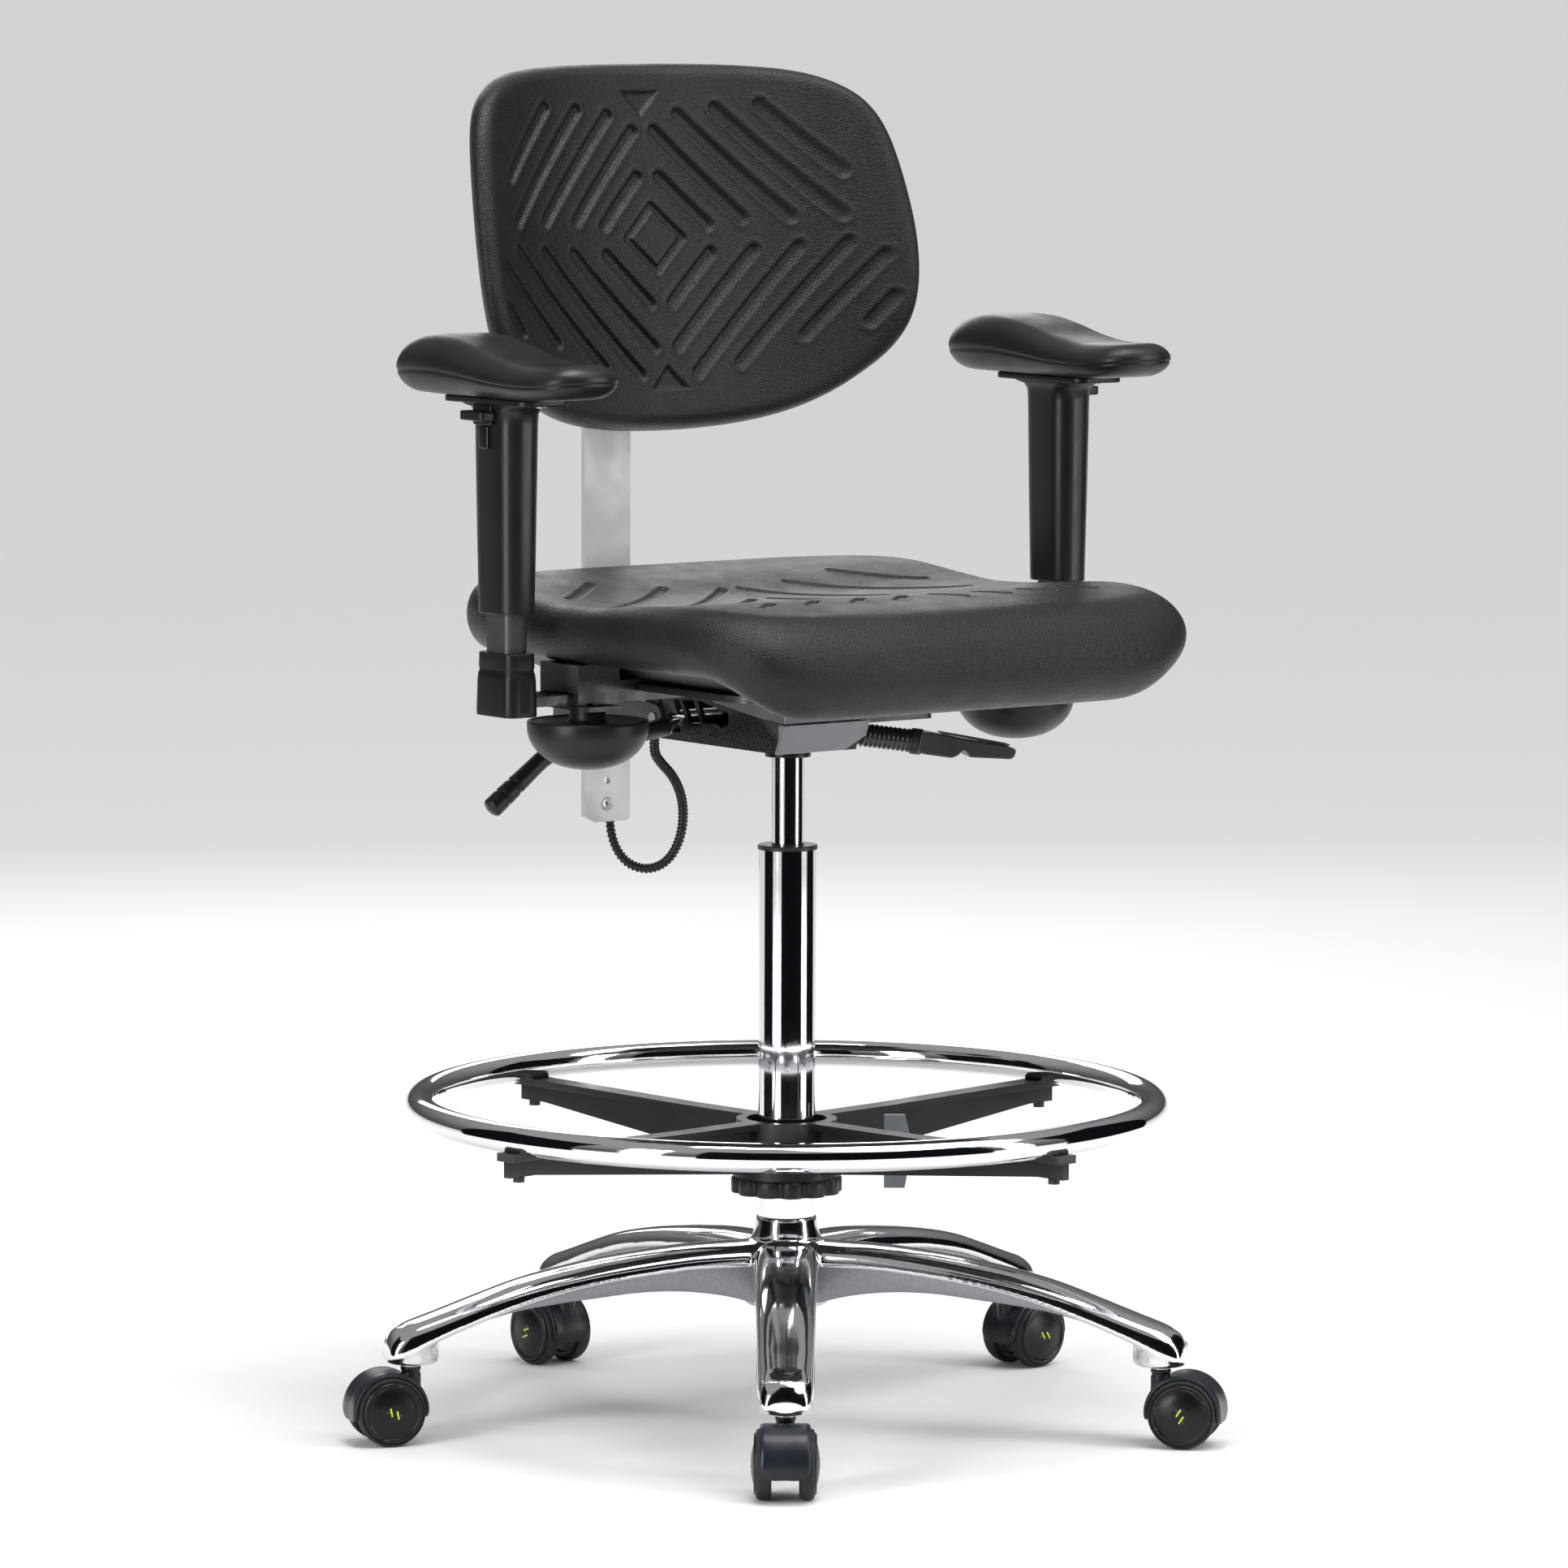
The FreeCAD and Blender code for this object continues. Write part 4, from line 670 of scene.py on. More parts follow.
def foam_mesh(name, outline, top, bottom, rim, grid, rim_steps, material, rim_dent=None, flare=0.0):
    """Moulded foam: a top and an underside over one outline, joined by a round rim.

    top and bottom give heights over (x, y). rim gives how far the round edge reaches in
    at an angle, and rim_dent an inward offset along the rim, from 0 at its top to 1.
    """
    angle, radius, faces, loop = disc_grid(*grid)
    reach = rim(angle)[:, None]
    inner = outline.point(angle) - outline.normal(angle) * reach
    plan = inner * radius[:, None]
    verts = [np.column_stack([plan, top(plan[:, 0], plan[:, 1])])]
    loop_angle = angle[loop]
    loop_reach = rim(loop_angle)
    loop_normal = outline.normal(loop_angle)
    loop_inner = outline.point(loop_angle) - loop_normal * loop_reach[:, None]
    count = len(loop)
    ring_start = loop
    used = len(angle)
    for step in range(1, rim_steps + 1):
        phase = step / rim_steps
        turn = math.pi * phase
        out = loop_reach * math.sin(turn)
        if flare:
            spread = float(smoothstep((phase - 0.12) / 0.5)) * math.sin(turn) ** 0.5
            sides = smoothstep((np.abs(np.cos(loop_angle)) - 0.80) / 0.15)
            out = loop_reach * math.sin(turn) ** 0.75 + flare * sides * spread
        if rim_dent is not None:
            out = out - rim_dent(phase)
        at = loop_inner + loop_normal * out[:, None]
        high = top(at[:, 0], at[:, 1])
        low = bottom(at[:, 0], at[:, 1])
        z = (high + low) / 2 + (high - low) / 2 * math.cos(turn)
        verts.append(np.column_stack([at, z]))
        ring_start = add_ring(faces, ring_start, used)
        used += count
    under_steps = 14
    for step in range(1, under_steps):
        at = loop_inner * (1 - step / under_steps)
        verts.append(np.column_stack([at, bottom(at[:, 0], at[:, 1])]))
        ring_start = add_ring(faces, ring_start, used)
        used += count
    centre = np.zeros((1, 2))
    verts.append(np.column_stack([centre, bottom(centre[:, 0], centre[:, 1])]))
    faces += [(ring_start[k], used, ring_start[(k + 1) % count]) for k in range(count)]
    return mesh_object(name, np.concatenate(verts), faces, material)


def distance_to_line(x, y, start, end):
    ax, ay = start
    bx, by = end
    length = (bx - ax) ** 2 + (by - ay) ** 2
    t = np.clip(((x - ax) * (bx - ax) + (y - ay) * (by - ay)) / length, 0, 1)
    return np.hypot(x - ax - t * (bx - ax), y - ay - t * (by - ay))


def channel(distance, half_width, depth, lip=0.0):
    """A pressed channel: steep sides, a flat floor and a low swelling beside it."""
    inside = smoothstep((half_width - distance) / (0.62 * half_width))
    swell = np.exp(-(((distance - 1.25 * half_width) / (0.35 * half_width)) ** 2))
    return -depth * inside + lip * swell


def line_field(x, y, lines):
    """Distance to the nearest of several polylines."""
    nearest = np.full(x.shape, 9.0)
    for points in lines:
        for start, end in zip(points, points[1:]):
            nearest = np.minimum(nearest, distance_to_line(x, y, start, end))
    return nearest


def mirrored(lines):
    return lines + [[(-x, y) for x, y in points] for points in lines]


# Seat: plan positions in metres about the seat's own middle, heights from the floor.
SEAT_Y = -0.048
SEAT_STATIONS = [-0.280, -0.240, -0.179, -0.106, -0.040, 0.020, 0.060, 0.120, 0.182]
SEAT_MIDDLE = [0.728, 0.7335, 0.7380, 0.7305, 0.7215, 0.7185, 0.7205, 0.7335, 0.7430]
SEAT_EDGE = [0.728, 0.734, 0.738, 0.734, 0.729, 0.728, 0.732, 0.739, 0.742]


def seat_grooves():
    rows = [
        [(0.130, 0.111), (0.192, 0.056)], [(0.067, 0.092), (0.194, -0.005)],
        [(0.010, 0.082), (0.180, -0.062)], [(0.010, 0.038), (0.152, -0.085)],
        [(0.012, -0.008), (0.104, -0.088)], [(0.012, -0.052), (0.052, -0.086)],
    ]
    front = [[(x, -0.184), (x + 0.020, -0.203)] for x in (0.016, 0.062, 0.110, 0.156)]
    return mirrored(rows + front)


SEAT_LINES = seat_grooves()


def seat_top(x, y):
    """Dished seat: high rear rim, dipped sides, a thigh roll in front."""
    y = y + SEAT_Y
    middle = curve_value(SEAT_STATIONS, SEAT_MIDDLE, y)
    edge = curve_value(SEAT_STATIONS, SEAT_EDGE, y)
    height = middle + (edge - middle) * np.minimum(1, np.abs(x) / 0.24) ** 2.4
    return height + channel(line_field(x, y, SEAT_LINES), 0.0056, 0.0018, 0.0003)


def seat_bottom(x, y):
    """Flat on the seat plate in the middle, lifted at the sides, a deep lip in front."""
    y = y + SEAT_Y
    side = 0.679
    plate = 0.6605
    lip = 0.645
    middle = smoothstep((0.215 - np.abs(x)) / 0.05) * smoothstep((0.175 - y) / 0.05)
    height = side + (plate - side) * middle
    front = smoothstep((-0.190 - y) / 0.060) * smoothstep((0.300 - np.abs(x)) / 0.150)
    return height + (lip - height) * front


def seat_rim(angle):
    forward = np.clip(-np.sin(angle), 0, 1)
    rear = np.clip(np.sin(angle), 0, 1)
    return 0.026 + 0.017 * smoothstep(forward * 1.3) - 0.004 * rear


def make_seat(materials):
    corner = 0.088
    half = 0.2545
    front = -0.238
    rear = 0.238
    rear_half = [
        (half, -0.10), (half, 0.02), (half - 0.002, rear - corner - 0.02), (half - 0.014, rear - 0.020),
        (half - 0.10, rear + 0.002), (0.07, rear + 0.001),
    ]
    front_half = [
        (-half - 0.002, front + corner), (-half + 0.016, front + 0.010), (-half + 0.105, front - 0.006),
        (-0.07, front - 0.008),
    ]
    outline = Outline(rear_half + opposite(rear_half) + front_half + opposite(front_half))
    seat = foam_mesh(
        "seat_foam", outline, seat_top, seat_bottom, seat_rim, (380, 360), 26, materials["skin"]
    )
    place_mesh(seat, Matrix.Translation((0, SEAT_Y, 0)))
    finish_piece(seat, "seat", "foam_skin", "seat_cushion")


# Back: x across, y up along the leaning back, height towards the sitter.
BACK_LEAN = math.radians(10.8)
BACK_BASE = Vector((0, 0.198, 1.021))
BACK_PLACE = Matrix.Translation(BACK_BASE) @ Matrix.Rotation(-BACK_LEAN, 4, "X") @ UPRIGHT
BACK_FRONT_RADIUS = 0.359
BACK_REAR_RADIUS = 0.3334


def back_lines():
    upper = [
        [(0.012, 0.101), (0.090, 0.020)], [(0.038, 0.115), (0.133, 0.018)],
        [(0.075, 0.119), (0.176, 0.016)], [(0.116, 0.120), (0.180, 0.055)],
        [(0.012, 0.060), (0.056, 0.016)],
    ]
    lower = [
        [(0.056, -0.009), (0.012, -0.052)], [(0.097, -0.009), (0.013, -0.091)],
        [(0.137, -0.009), (0.031, -0.115)], [(0.178, -0.009), (0.074, -0.108)],
        [(0.205, -0.023), (0.134, -0.088)], [(0.208, -0.061), (0.188, -0.081)],
    ]
    return mirrored(upper + lower)


BACK_LINES = back_lines()
BACK_FIGURES = [[(0.030, 0.0055), (0.0, 0.0345), (-0.030, 0.0055), (0.0, -0.0235), (0.030, 0.0055)]]
BACK_TRIANGLES = [
    [(-0.022, 0.137), (0.022, 0.137), (0.0, 0.113)], [(-0.021, -0.129), (0.021, -0.129), (0.0, -0.106)]
]


def triangle_depth(x, y, corners):
    """How far a point lies inside a triangle, negative outside."""
    middle = np.mean(np.array(corners), axis=0)
    inside = np.full(x.shape, 9.0)
    for (ax, ay), (bx, by) in zip(corners, corners[1:] + corners[:1]):
        length = math.hypot(bx - ax, by - ay)
        nx, ny = (by - ay) / length, (ax - bx) / length
        if (middle[0] - ax) * nx + (middle[1] - ay) * ny < 0:
            nx, ny = -nx, -ny
        inside = np.minimum(inside, (x - ax) * nx + (y - ay) * ny)
    return inside


def back_front(x, y):
    """Front face: curved round the sitter, pressed with the chevrons and figures."""
    bow = BACK_FRONT_RADIUS - np.sqrt(np.maximum(BACK_FRONT_RADIUS**2 - x**2, 1e-6))
    height = bow + channel(line_field(x, y, BACK_LINES), 0.0066, 0.0036, 0.0006)
    height = height + channel(line_field(x, y, BACK_FIGURES), 0.0042, 0.0028, 0.0004)
    for corners in BACK_TRIANGLES:
        height = height - 0.0032 * smoothstep((triangle_depth(x, y, corners) + 0.001) / 0.0045)
    return height


def back_rear(x, _):
    bow = BACK_REAR_RADIUS - np.sqrt(np.maximum(BACK_REAR_RADIUS**2 - x**2, 1e-6))
    return bow - 0.040


def make_back(materials):
    half_points = [
        (0.0, 0.1640), (0.060, 0.1630), (0.120, 0.1580), (0.170, 0.1480), (0.2080, 0.1230),
        (0.2210, 0.0780), (0.2280, 0.0250), (0.2310, -0.0200), (0.2260, -0.0780), (0.1950, -0.1210),
        (0.1420, -0.1500), (0.0700, -0.1630),
    ]
    outline = Outline(half_points + opposite(half_points[1:]))
    back = foam_mesh(
        "back_foam",
        outline,
        back_front,
        back_rear,
        even_rim(0.0165),
        (420, 300),
        26,
        materials["skin"],
        flare=0.006,
    )
    place_mesh(back, BACK_PLACE)
    finish_piece(back, "back", "foam_skin", "back_cushion")


# ---------------------------------------------------------------- arm pads


ARM_X = 0.2975
PAD_HALF = 0.042
PAD_STATIONS = [-0.126, -0.095, -0.060, -0.025, 0.010, 0.040, 0.070, 0.105, 0.126]
PAD_TOP = [0.9400, 0.9388, 0.9395, 0.9445, 0.9525, 0.9575, 0.9580, 0.9515, 0.9440]
PAD_BOTTOM = [0.9130, 0.9085, 0.9072, 0.9072, 0.9072, 0.9072, 0.9073, 0.9085, 0.9120]


def pad_top(x, y):
    return curve_value(PAD_STATIONS, PAD_TOP, y) - 0.0042 * (np.abs(x) / PAD_HALF) ** 2.6


def pad_bottom(x, y):
    return curve_value(PAD_STATIONS, PAD_BOTTOM, y) + 0.0025 * (np.abs(x) / PAD_HALF) ** 4


def pad_seam(phase):
    """Parting groove round the pad's side."""
    return 0.0009 * math.exp(-(((phase - 0.56) / 0.022) ** 2))


def make_pad(side, materials):
    rear = [
        (0.0440, -0.030), (0.0455, 0.030), (0.0455, 0.075), (0.0400, 0.112), (0.0220, 0.1280),
        (0.0, 0.1310),
    ]
    front = [(-0.0, -0.1310), (0.0200, -0.1290), (0.0380, -0.114), (0.0430, -0.078)]
    outline = Outline(rear + opposite(rear[:-1]) + opposite(front[1:]) + front)
    pad = foam_mesh(
        f"arm_pad_skin_{side}", outline, pad_top, pad_bottom,
        even_rim(0.0190), (64, 160), 44, materials["arm_skin"], pad_seam,
    )
    place_mesh(pad, Matrix.Translation((SIDES[side] * ARM_X, 0, 0)))
    finish_piece(pad, f"arm_top_{side}", "arm_foam", f"arm_pad_{side}")


# ---------------------------------------------------------------- arm posts


def round_box(half_x, half_y, radius, z, middle=(0, 0), corner_steps=10):
    """One level ring of a rounded rectangle."""
    points = []
    for quarter in range(4):
        sx = 1 if quarter in (0, 3) else -1
        sy = 1 if quarter in (0, 1) else -1
        for k in range(corner_steps + 1):
            angle = math.pi / 2 * (quarter + k / corner_steps)
            points.append(
                (
                    middle[0] + sx * (half_x - radius) + radius * math.cos(angle),
                    middle[1] + sy * (half_y - radius) + radius * math.sin(angle),
                    z,
                )
            )
    return points


def edge_rounded(levels, edge, steps=4):
    """Level rings (half_x, half_y, radius, z) with both end rims rounded by the edge size."""
    least = 0.0004

    def rim(level, k, way):
        half_x, half_y, radius, z = level
        turn = math.pi / 2 * k / steps
        inset = edge * (1 - math.sin(turn))
        rise = edge * (1 - math.cos(turn))
        return half_x - inset, half_y - inset, max(radius - inset, least), z + way * rise

    first = [rim(levels[0], k, 1) for k in range(steps + 1)]
    last = [rim(levels[-1], k, -1) for k in range(steps, -1, -1)]
    return first + levels[1:-1] + last


def box_loft(name, levels, material, middle=(0, 0)):
    return loft(name, [round_box(*level, middle) for level in levels], material)


def make_sleeve(side, materials):
    """Height sleeve: tapered post with a flared head, its plate, button window and tab."""
    s = SIDES[side]
    x = s * ARM_X
    post = box_loft(
        "post",
        edge_rounded(
            [
                (0.0172, 0.0270, 0.0150, 0.724), (0.0172, 0.0270, 0.0150, 0.727),
                (0.0184, 0.0284, 0.0158, 0.800), (0.0192, 0.0294, 0.0164, 0.860),
                (0.0195, 0.0298, 0.0166, 0.885), (0.0198, 0.0304, 0.0166, 0.8935),
                (0.0206, 0.0340, 0.0160, 0.8985), (0.0230, 0.0420, 0.0150, 0.9020),
            ],
            0.0012,
        ),
        materials["post"],
        (x, 0),
    )
    plate = box_loft(
        "plate",
        edge_rounded([(0.026, 0.062, 0.012, 0.9018), (0.026, 0.062, 0.012, 0.9070)], 0.0012),
        materials["black"],
        (x, 0),
    )
    strip = box_loft(
        "strip",
        edge_rounded([(0.0040, 0.0068, 0.0018, 0.864), (0.0040, 0.0068, 0.0018, 0.8828)], 0.0010),
        materials["gloss"],
        (x + s * 0.0185, 0.003),
    )
    screws = []
    for y in (-0.050, 0.050):
        screw = lathe(
            "screw",
            rounded([(AXIS, 0.8998), (0.0042, 0.8998), (0.0050, 0.9008), (0.0050, 0.9022)], 0.0005),
            materials["steel"],
            28,
        )
        place_mesh(screw, Matrix.Translation((x, y, 0)))
        screws.append(screw)
    sleeve = join(f"arm_sleeve_shell_{side}", [post, plate, strip] + screws)
    finish_piece(sleeve, f"arm_top_{side}", "black_plastic", f"arm_sleeve_{side}")
    low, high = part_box(f"arm_button_{side}")
    tab_middle = centre_of(f"arm_button_{side}")[:2]
    half_x, half_y, _ = (high - low) / 2
    tab = box_loft(
        "tab",
        edge_rounded(
            [(half_x, half_y, 0.0045, low[2] + 0.004), (half_x, half_y, 0.0045, high[2] - 0.005)], 0.0014
        ),
        materials["black"],
        tab_middle,
    )
    lip = box_loft(
        "tab_lip",
        edge_rounded(
            [(0.0022, half_y * 0.8, 0.0018, low[2]), (0.0022, half_y * 0.8, 0.0018, high[2])], 0.0009
        ),
        materials["black"],
        (s * (ARM_X + 0.0215), tab_middle[1]),
    )
    button = join(f"arm_tab_{side}", [tab, lip])
    finish_piece(button, f"arm_button_{side}", "black_plastic", f"arm_button_{side}")


def make_boot(side, materials):
    """Moulded boot where the upright meets its rail: a skirt, a waist ridge and a notch, the notch drawn as
    a dark matte patch of painted shade.
    """
    x = SIDES[side] * ARM_X
    skirt = box_loft(
        "skirt",
        edge_rounded(
            [
                (0.0165, 0.0270, 0.0090, 0.637), (0.0165, 0.0270, 0.0090, 0.645),
                (0.0160, 0.0264, 0.0090, 0.668), (0.0154, 0.0258, 0.0088, 0.6735),
                (0.0147, 0.0250, 0.0084, 0.6750), (0.0147, 0.0250, 0.0084, 0.6775),
                (0.0151, 0.0254, 0.0084, 0.6790), (0.0148, 0.0251, 0.0084, 0.6910),
            ],
            0.0010,
        ),
        materials["black"],
        (x, 0),
    )
    # Dark matte patch just proud of the front face: painted shade where the notch opens.
    notch_shade_patch = box_loft(
        "notch_shade_patch",
        edge_rounded([(0.0050, 0.0007, 0.0005, 0.641), (0.0050, 0.0007, 0.0005, 0.672)], 0.0003),
        materials["painted_notch_shade"],
        (x, -0.0266),
    )
    boot = join(f"arm_boot_shell_{side}", [skirt, notch_shade_patch])
    finish_piece(boot, f"arm_frame_{side}", "black_plastic", f"arm_boot_{side}")


def make_width_knob(side, materials):
    """Bowl-shaped width knob: domed shell, rounded lip, recessed top and a hub."""
    joint = Vector(JOINTS[f"arm_knob_turn_{side}"]["pos_m"])
    low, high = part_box(f"arm_knob_{side}")
    top = 0.632
    bottom = low[2]
    radius = 0.0518
    lip = top - 0.006
    bowl_steps = 18
    bowl = [(AXIS, bottom)]
    for k in range(1, bowl_steps + 1):
        turn = math.pi / 2 * k / bowl_steps
        bowl.append((radius * math.sin(turn) ** 0.9, lip - (lip - bottom) * math.cos(turn)))
    bowl += rounded(
        [(radius, top - 0.0055), (radius, top - 0.0008), (radius - 0.003, top),
         (radius - 0.006, top - 0.0012), (0.030, top - 0.0018), (0.0175, top - 0.0012),
         (0.0155, top + 0.001)],
        0.0018,
    )
    bowl += [(0.0155, high[2] - 0.001), (0.0145, high[2]), (AXIS, high[2])]
    knob = lathe(f"width_knob_{side}", bowl, materials["black"], 112)
    place_mesh(knob, Matrix.Translation((joint.x, joint.y, 0)))
    finish_piece(knob, f"arm_knob_{side}", "black_plastic", f"arm_knob_{side}")


# ---------------------------------------------------------------- casters


def caster_frame(name):
    """Matrix from a caster's own axes to the world: X outward from the stem, Y along the axle."""
    stem = Vector(JOINTS[f"{name}_caster_swivel"]["pos_m"])
    wheel = Vector(JOINTS[f"{name}_wheel_spin_left"]["pos_m"])
    axle = Vector(JOINTS[f"{name}_wheel_spin_left"]["axis"])
    out = Vector((wheel.x - stem.x, wheel.y - stem.y, 0)).normalized()
    across = Vector((0, 0, 1)).cross(out)
    if across.dot(axle) < 0:
        across.negate()
        out = across.cross(Vector((0, 0, 1)))
    turn = Matrix((out, across, (0, 0, 1))).transposed().to_4x4()
    return Matrix.Translation((wheel.x, wheel.y, 0)) @ turn


WHEEL_Z = 0.030
HOOD_R = 0.034
HOOD_SKIN = 0.0028
STEM_BACK = -0.022


def make_hood(materials):
    """Hood band over both wheels with an outer lip, the web, stem boss and axle ends."""
    start = math.radians(-14)
    end = math.radians(192)
    half = 0.021
    steps = 80
    corner = 0.0095
    sections = []
    for k in range(steps + 1):
        share = 0.5 - 0.5 * math.cos(math.pi * k / steps)
        angle = start + (end - start) * share
        near = min(share, 1 - share) * (end - start) * HOOD_R
        lost = max(0.0, 1 - near / corner)
        narrow = half - corner * (1 - math.sqrt(max(0.0, 1 - lost**2)))
        profile = rounded(
            [
                (HOOD_R - 0.0006, 0), (HOOD_R, narrow * 0.5), (HOOD_R - 0.0001, narrow * 0.86),
                (HOOD_R - 0.0013, narrow), (HOOD_R - HOOD_SKIN - 0.0012, narrow),
                (HOOD_R - HOOD_SKIN, narrow * 0.80), (HOOD_R - HOOD_SKIN, 0),
            ],
            0.0011,
            3,
        )
        ring = profile + [(r, -y) for r, y in reversed(profile)]
        arc = [(*around(r, angle), y) for r, y in ring]
        sections.append([Vector((x, y, WHEEL_Z + rise)) for x, rise, y in arc])
    band = loft("band", sections, materials["hood"])
    web_line = []
    web_steps = 40
    for k in range(web_steps + 1):
        x, rise = around(HOOD_R - 0.0015, math.radians(-10 + 196 * k / web_steps))
        web_line.append((x, WHEEL_Z + rise))
    web_line += [(-0.022, 0.0275), (-0.006, 0.0245), (0.006, 0.0245), (0.022, 0.0250)]
    web = slab("web", web_line, -0.006, 0.006, materials["hood"], 0.0008)
    place_mesh(web, UPRIGHT)
    boss = lathe(
        "boss",
        rounded(
            [(AXIS, 0.024), (0.0088, 0.024), (0.0088, 0.0595), (0.0080, 0.0605), (0.0080, 0.0625),
             (0.0088, 0.0635), (0.0088, 0.0660), (0.0050, 0.0660), (AXIS, 0.0660)],
            0.0007,
        ),
        materials["hood"],
        48,
    )
    place_mesh(boss, Matrix.Translation((STEM_BACK, 0, 0)))
    axle = lathe(
        "axle",
        rounded(
            [(AXIS, -0.0262), (0.0034, -0.0262), (0.0040, -0.0252), (0.0040, 0.0252), (0.0034, 0.0262),
             (AXIS, 0.0262)],
            0.0005,
        ),
        materials["steel"],
        32,
    )
    place_mesh(axle, Matrix.Translation((0, 0, WHEEL_Z)) @ Matrix.Rotation(math.pi / 2, 4, "X"))
    hood = join("front_hood", [band, web, boss, axle])
    smooth_by_angle(hood, 42)
    return hood


def make_wheel(materials):
    """Twin wheel's one disc, made about its own axle along +Y: tread, rim, dished face, dome, tick."""
    inner = 0.0115
    outer = 0.0290
    face = rounded(
        [
            (0.0042, inner), (0.0120, inner), (0.0130, inner + 0.0012), (0.0210, inner + 0.0012),
            (0.0220, inner), (0.0268, inner), (0.0286, inner + 0.0008),
        ],
        0.0006,
    )
    tread = rounded(
        [
            (0.0286, inner + 0.0008), (0.0299, inner + 0.0022), (0.0300, inner + 0.0048),
            (0.0300, outer - 0.0105), (0.0297, outer - 0.0072), (0.0284, outer - 0.0050),
        ],
        0.0012,
    )
    dome = rounded(
        [
            (0.0284, outer - 0.0050), (0.0277, outer - 0.0046), (0.0272, outer - 0.0052),
            (0.0266, outer - 0.0052), (0.0262, outer - 0.0038), (0.0248, outer - 0.0026),
            (0.0232, outer - 0.0026), (0.0222, outer - 0.0036), (0.0190, outer - 0.0030),
            (0.0140, outer - 0.0016), (0.0080, outer - 0.0005), (AXIS, outer - 0.0002),
        ],
        0.0007,
    )
    parts = []
    for name, profile, look in (("face", face, "wheel"), ("tread", tread, "tread"), ("dome", dome, "wheel")):
        parts.append(lathe(name, profile, materials[look], 128))
    for shift, rise in ((-0.0019, 0.0026), (0.0019, -0.0026)):
        bar = [(-0.0008, -0.0036), (0.0006, -0.0038), (0.0009, 0.0036), (-0.0005, 0.0038)]
        tick = slab("tick", bar, outer - 0.0012, outer + 0.0001, materials["mark"], 0.0001, 2)
        place_mesh(tick, Matrix.Translation((shift, rise, 0)) @ Matrix.Rotation(-0.28, 4, "Z"))
        parts.append(tick)
    wheel = join("wheel", parts)
    smooth_by_angle(wheel, 38)
    place_mesh(wheel, Matrix.Rotation(-math.pi / 2, 4, "X"))
    return wheel


def make_casters(materials):
    hood = make_hood(materials)
    wheel = make_wheel(materials)
    spins = {"front": 20, "front_right": 75, "back_right": -40, "back_left": 130, "front_left": 210}
    for name in CASTERS:
        place = caster_frame(name)
        shell = bpy.data.objects.new(f"{name}_hood_shell", hood.data)
        bpy.context.scene.collection.objects.link(shell)
        shell.matrix_world = place
        bpy.context.view_layer.update()
        finish_piece(shell, f"{name}_caster", "caster_plastic", f"{name}_caster_hood")
        for side in SIDES:
            node = f"{name}_caster_wheel_{side}"
            where = place.inverted() @ centre_of(node)
            flip = Matrix.Rotation(math.pi, 4, "Z") if where.y < 0 else Matrix.Identity(4)
            spin = Matrix.Rotation(math.radians(spins[name] + (90 if where.y < 0 else 0)), 4, "Y")
            disc = bpy.data.objects.new(f"{name}_disc_{side}", wheel.data)
            bpy.context.scene.collection.objects.link(disc)
            disc.matrix_world = place @ Matrix.Translation((0, 0, WHEEL_Z)) @ flip @ spin
            bpy.context.view_layer.update()
            finish_piece(disc, f"{name}_wheel_{side}", "wheel_tread", node)
    for model in (hood, wheel):
        bpy.data.objects.remove(model)


# ---------------------------------------------------------------- star base


LEG_STATIONS = [0.016, 0.046, 0.083, 0.134, 0.190, 0.245, 0.281, 0.318, 0.345, 0.362]
LEG_TOP = [0.1620, 0.1615, 0.1605, 0.1560, 0.1480, 0.1360, 0.1245, 0.1120, 0.1035, 0.0985]
LEG_LOW = [0.1430, 0.1430, 0.1430, 0.1388, 0.1310, 0.1180, 0.1060, 0.0920, 0.0800, 0.0740]
LEG_HALF = [0.0290, 0.0290, 0.0285, 0.0278, 0.0268, 0.0260, 0.0254, 0.0250, 0.0247, 0.0245]
WEB_STATIONS = [0.030, 0.060, 0.089, 0.141, 0.177, 0.214, 0.251, 0.300]
WEB_LOW = [0.1080, 0.1165, 0.1215, 0.1235, 0.1205, 0.1170, 0.1120, 0.0990]
SOCKET_REACH = 0.339
LEG_ANGLES = [math.radians(CAMERA_AZIMUTH + 72 * k) for k in range(5)]


def power(value, exponent):
    return math.copysign(abs(value) ** exponent, value)


def leg_ring(reach, half, low, top, count=40):
    """One section of a leg: flat-bottomed, its top and sides one soft dome."""
    ring = []
    for turn in steps_round(count):
        across = half * power(math.cos(turn), 0.62)
        if math.sin(turn) >= 0:
            z = low + (top - low) * power(math.sin(turn), 0.78)
        else:
            z = low - 0.0015 * power(-math.sin(turn), 0.5)
        ring.append((reach, across, z))
    return ring


def make_leg(angle, material):
    sections = []
    cap_start = 0.336
    cap_end = 0.3622
    reaches = list(np.linspace(0.016, cap_start, 40))
    reaches += [cap_start + (cap_end - cap_start) * math.sin(math.pi / 2 * k / 12) for k in range(1, 13)]
    for reach in reaches:
        low = float(curve_value(LEG_STATIONS, LEG_LOW, reach))
        top = float(curve_value(LEG_STATIONS, LEG_TOP, reach))
        half = float(curve_value(LEG_STATIONS, LEG_HALF, reach))
        share = max(0.0, (reach - cap_start) / (cap_end - cap_start))
        shrink = math.sqrt(max(1 - share**2, 0.0))
        top = low + (top - low) * (0.35 + 0.65 * shrink)
        half = half * (0.62 + 0.38 * shrink)
        sections.append(leg_ring(reach, half, low, top))
    leg = loft("leg", sections, material)
    return place_mesh(leg, Matrix.Rotation(angle, 4, "Z"))


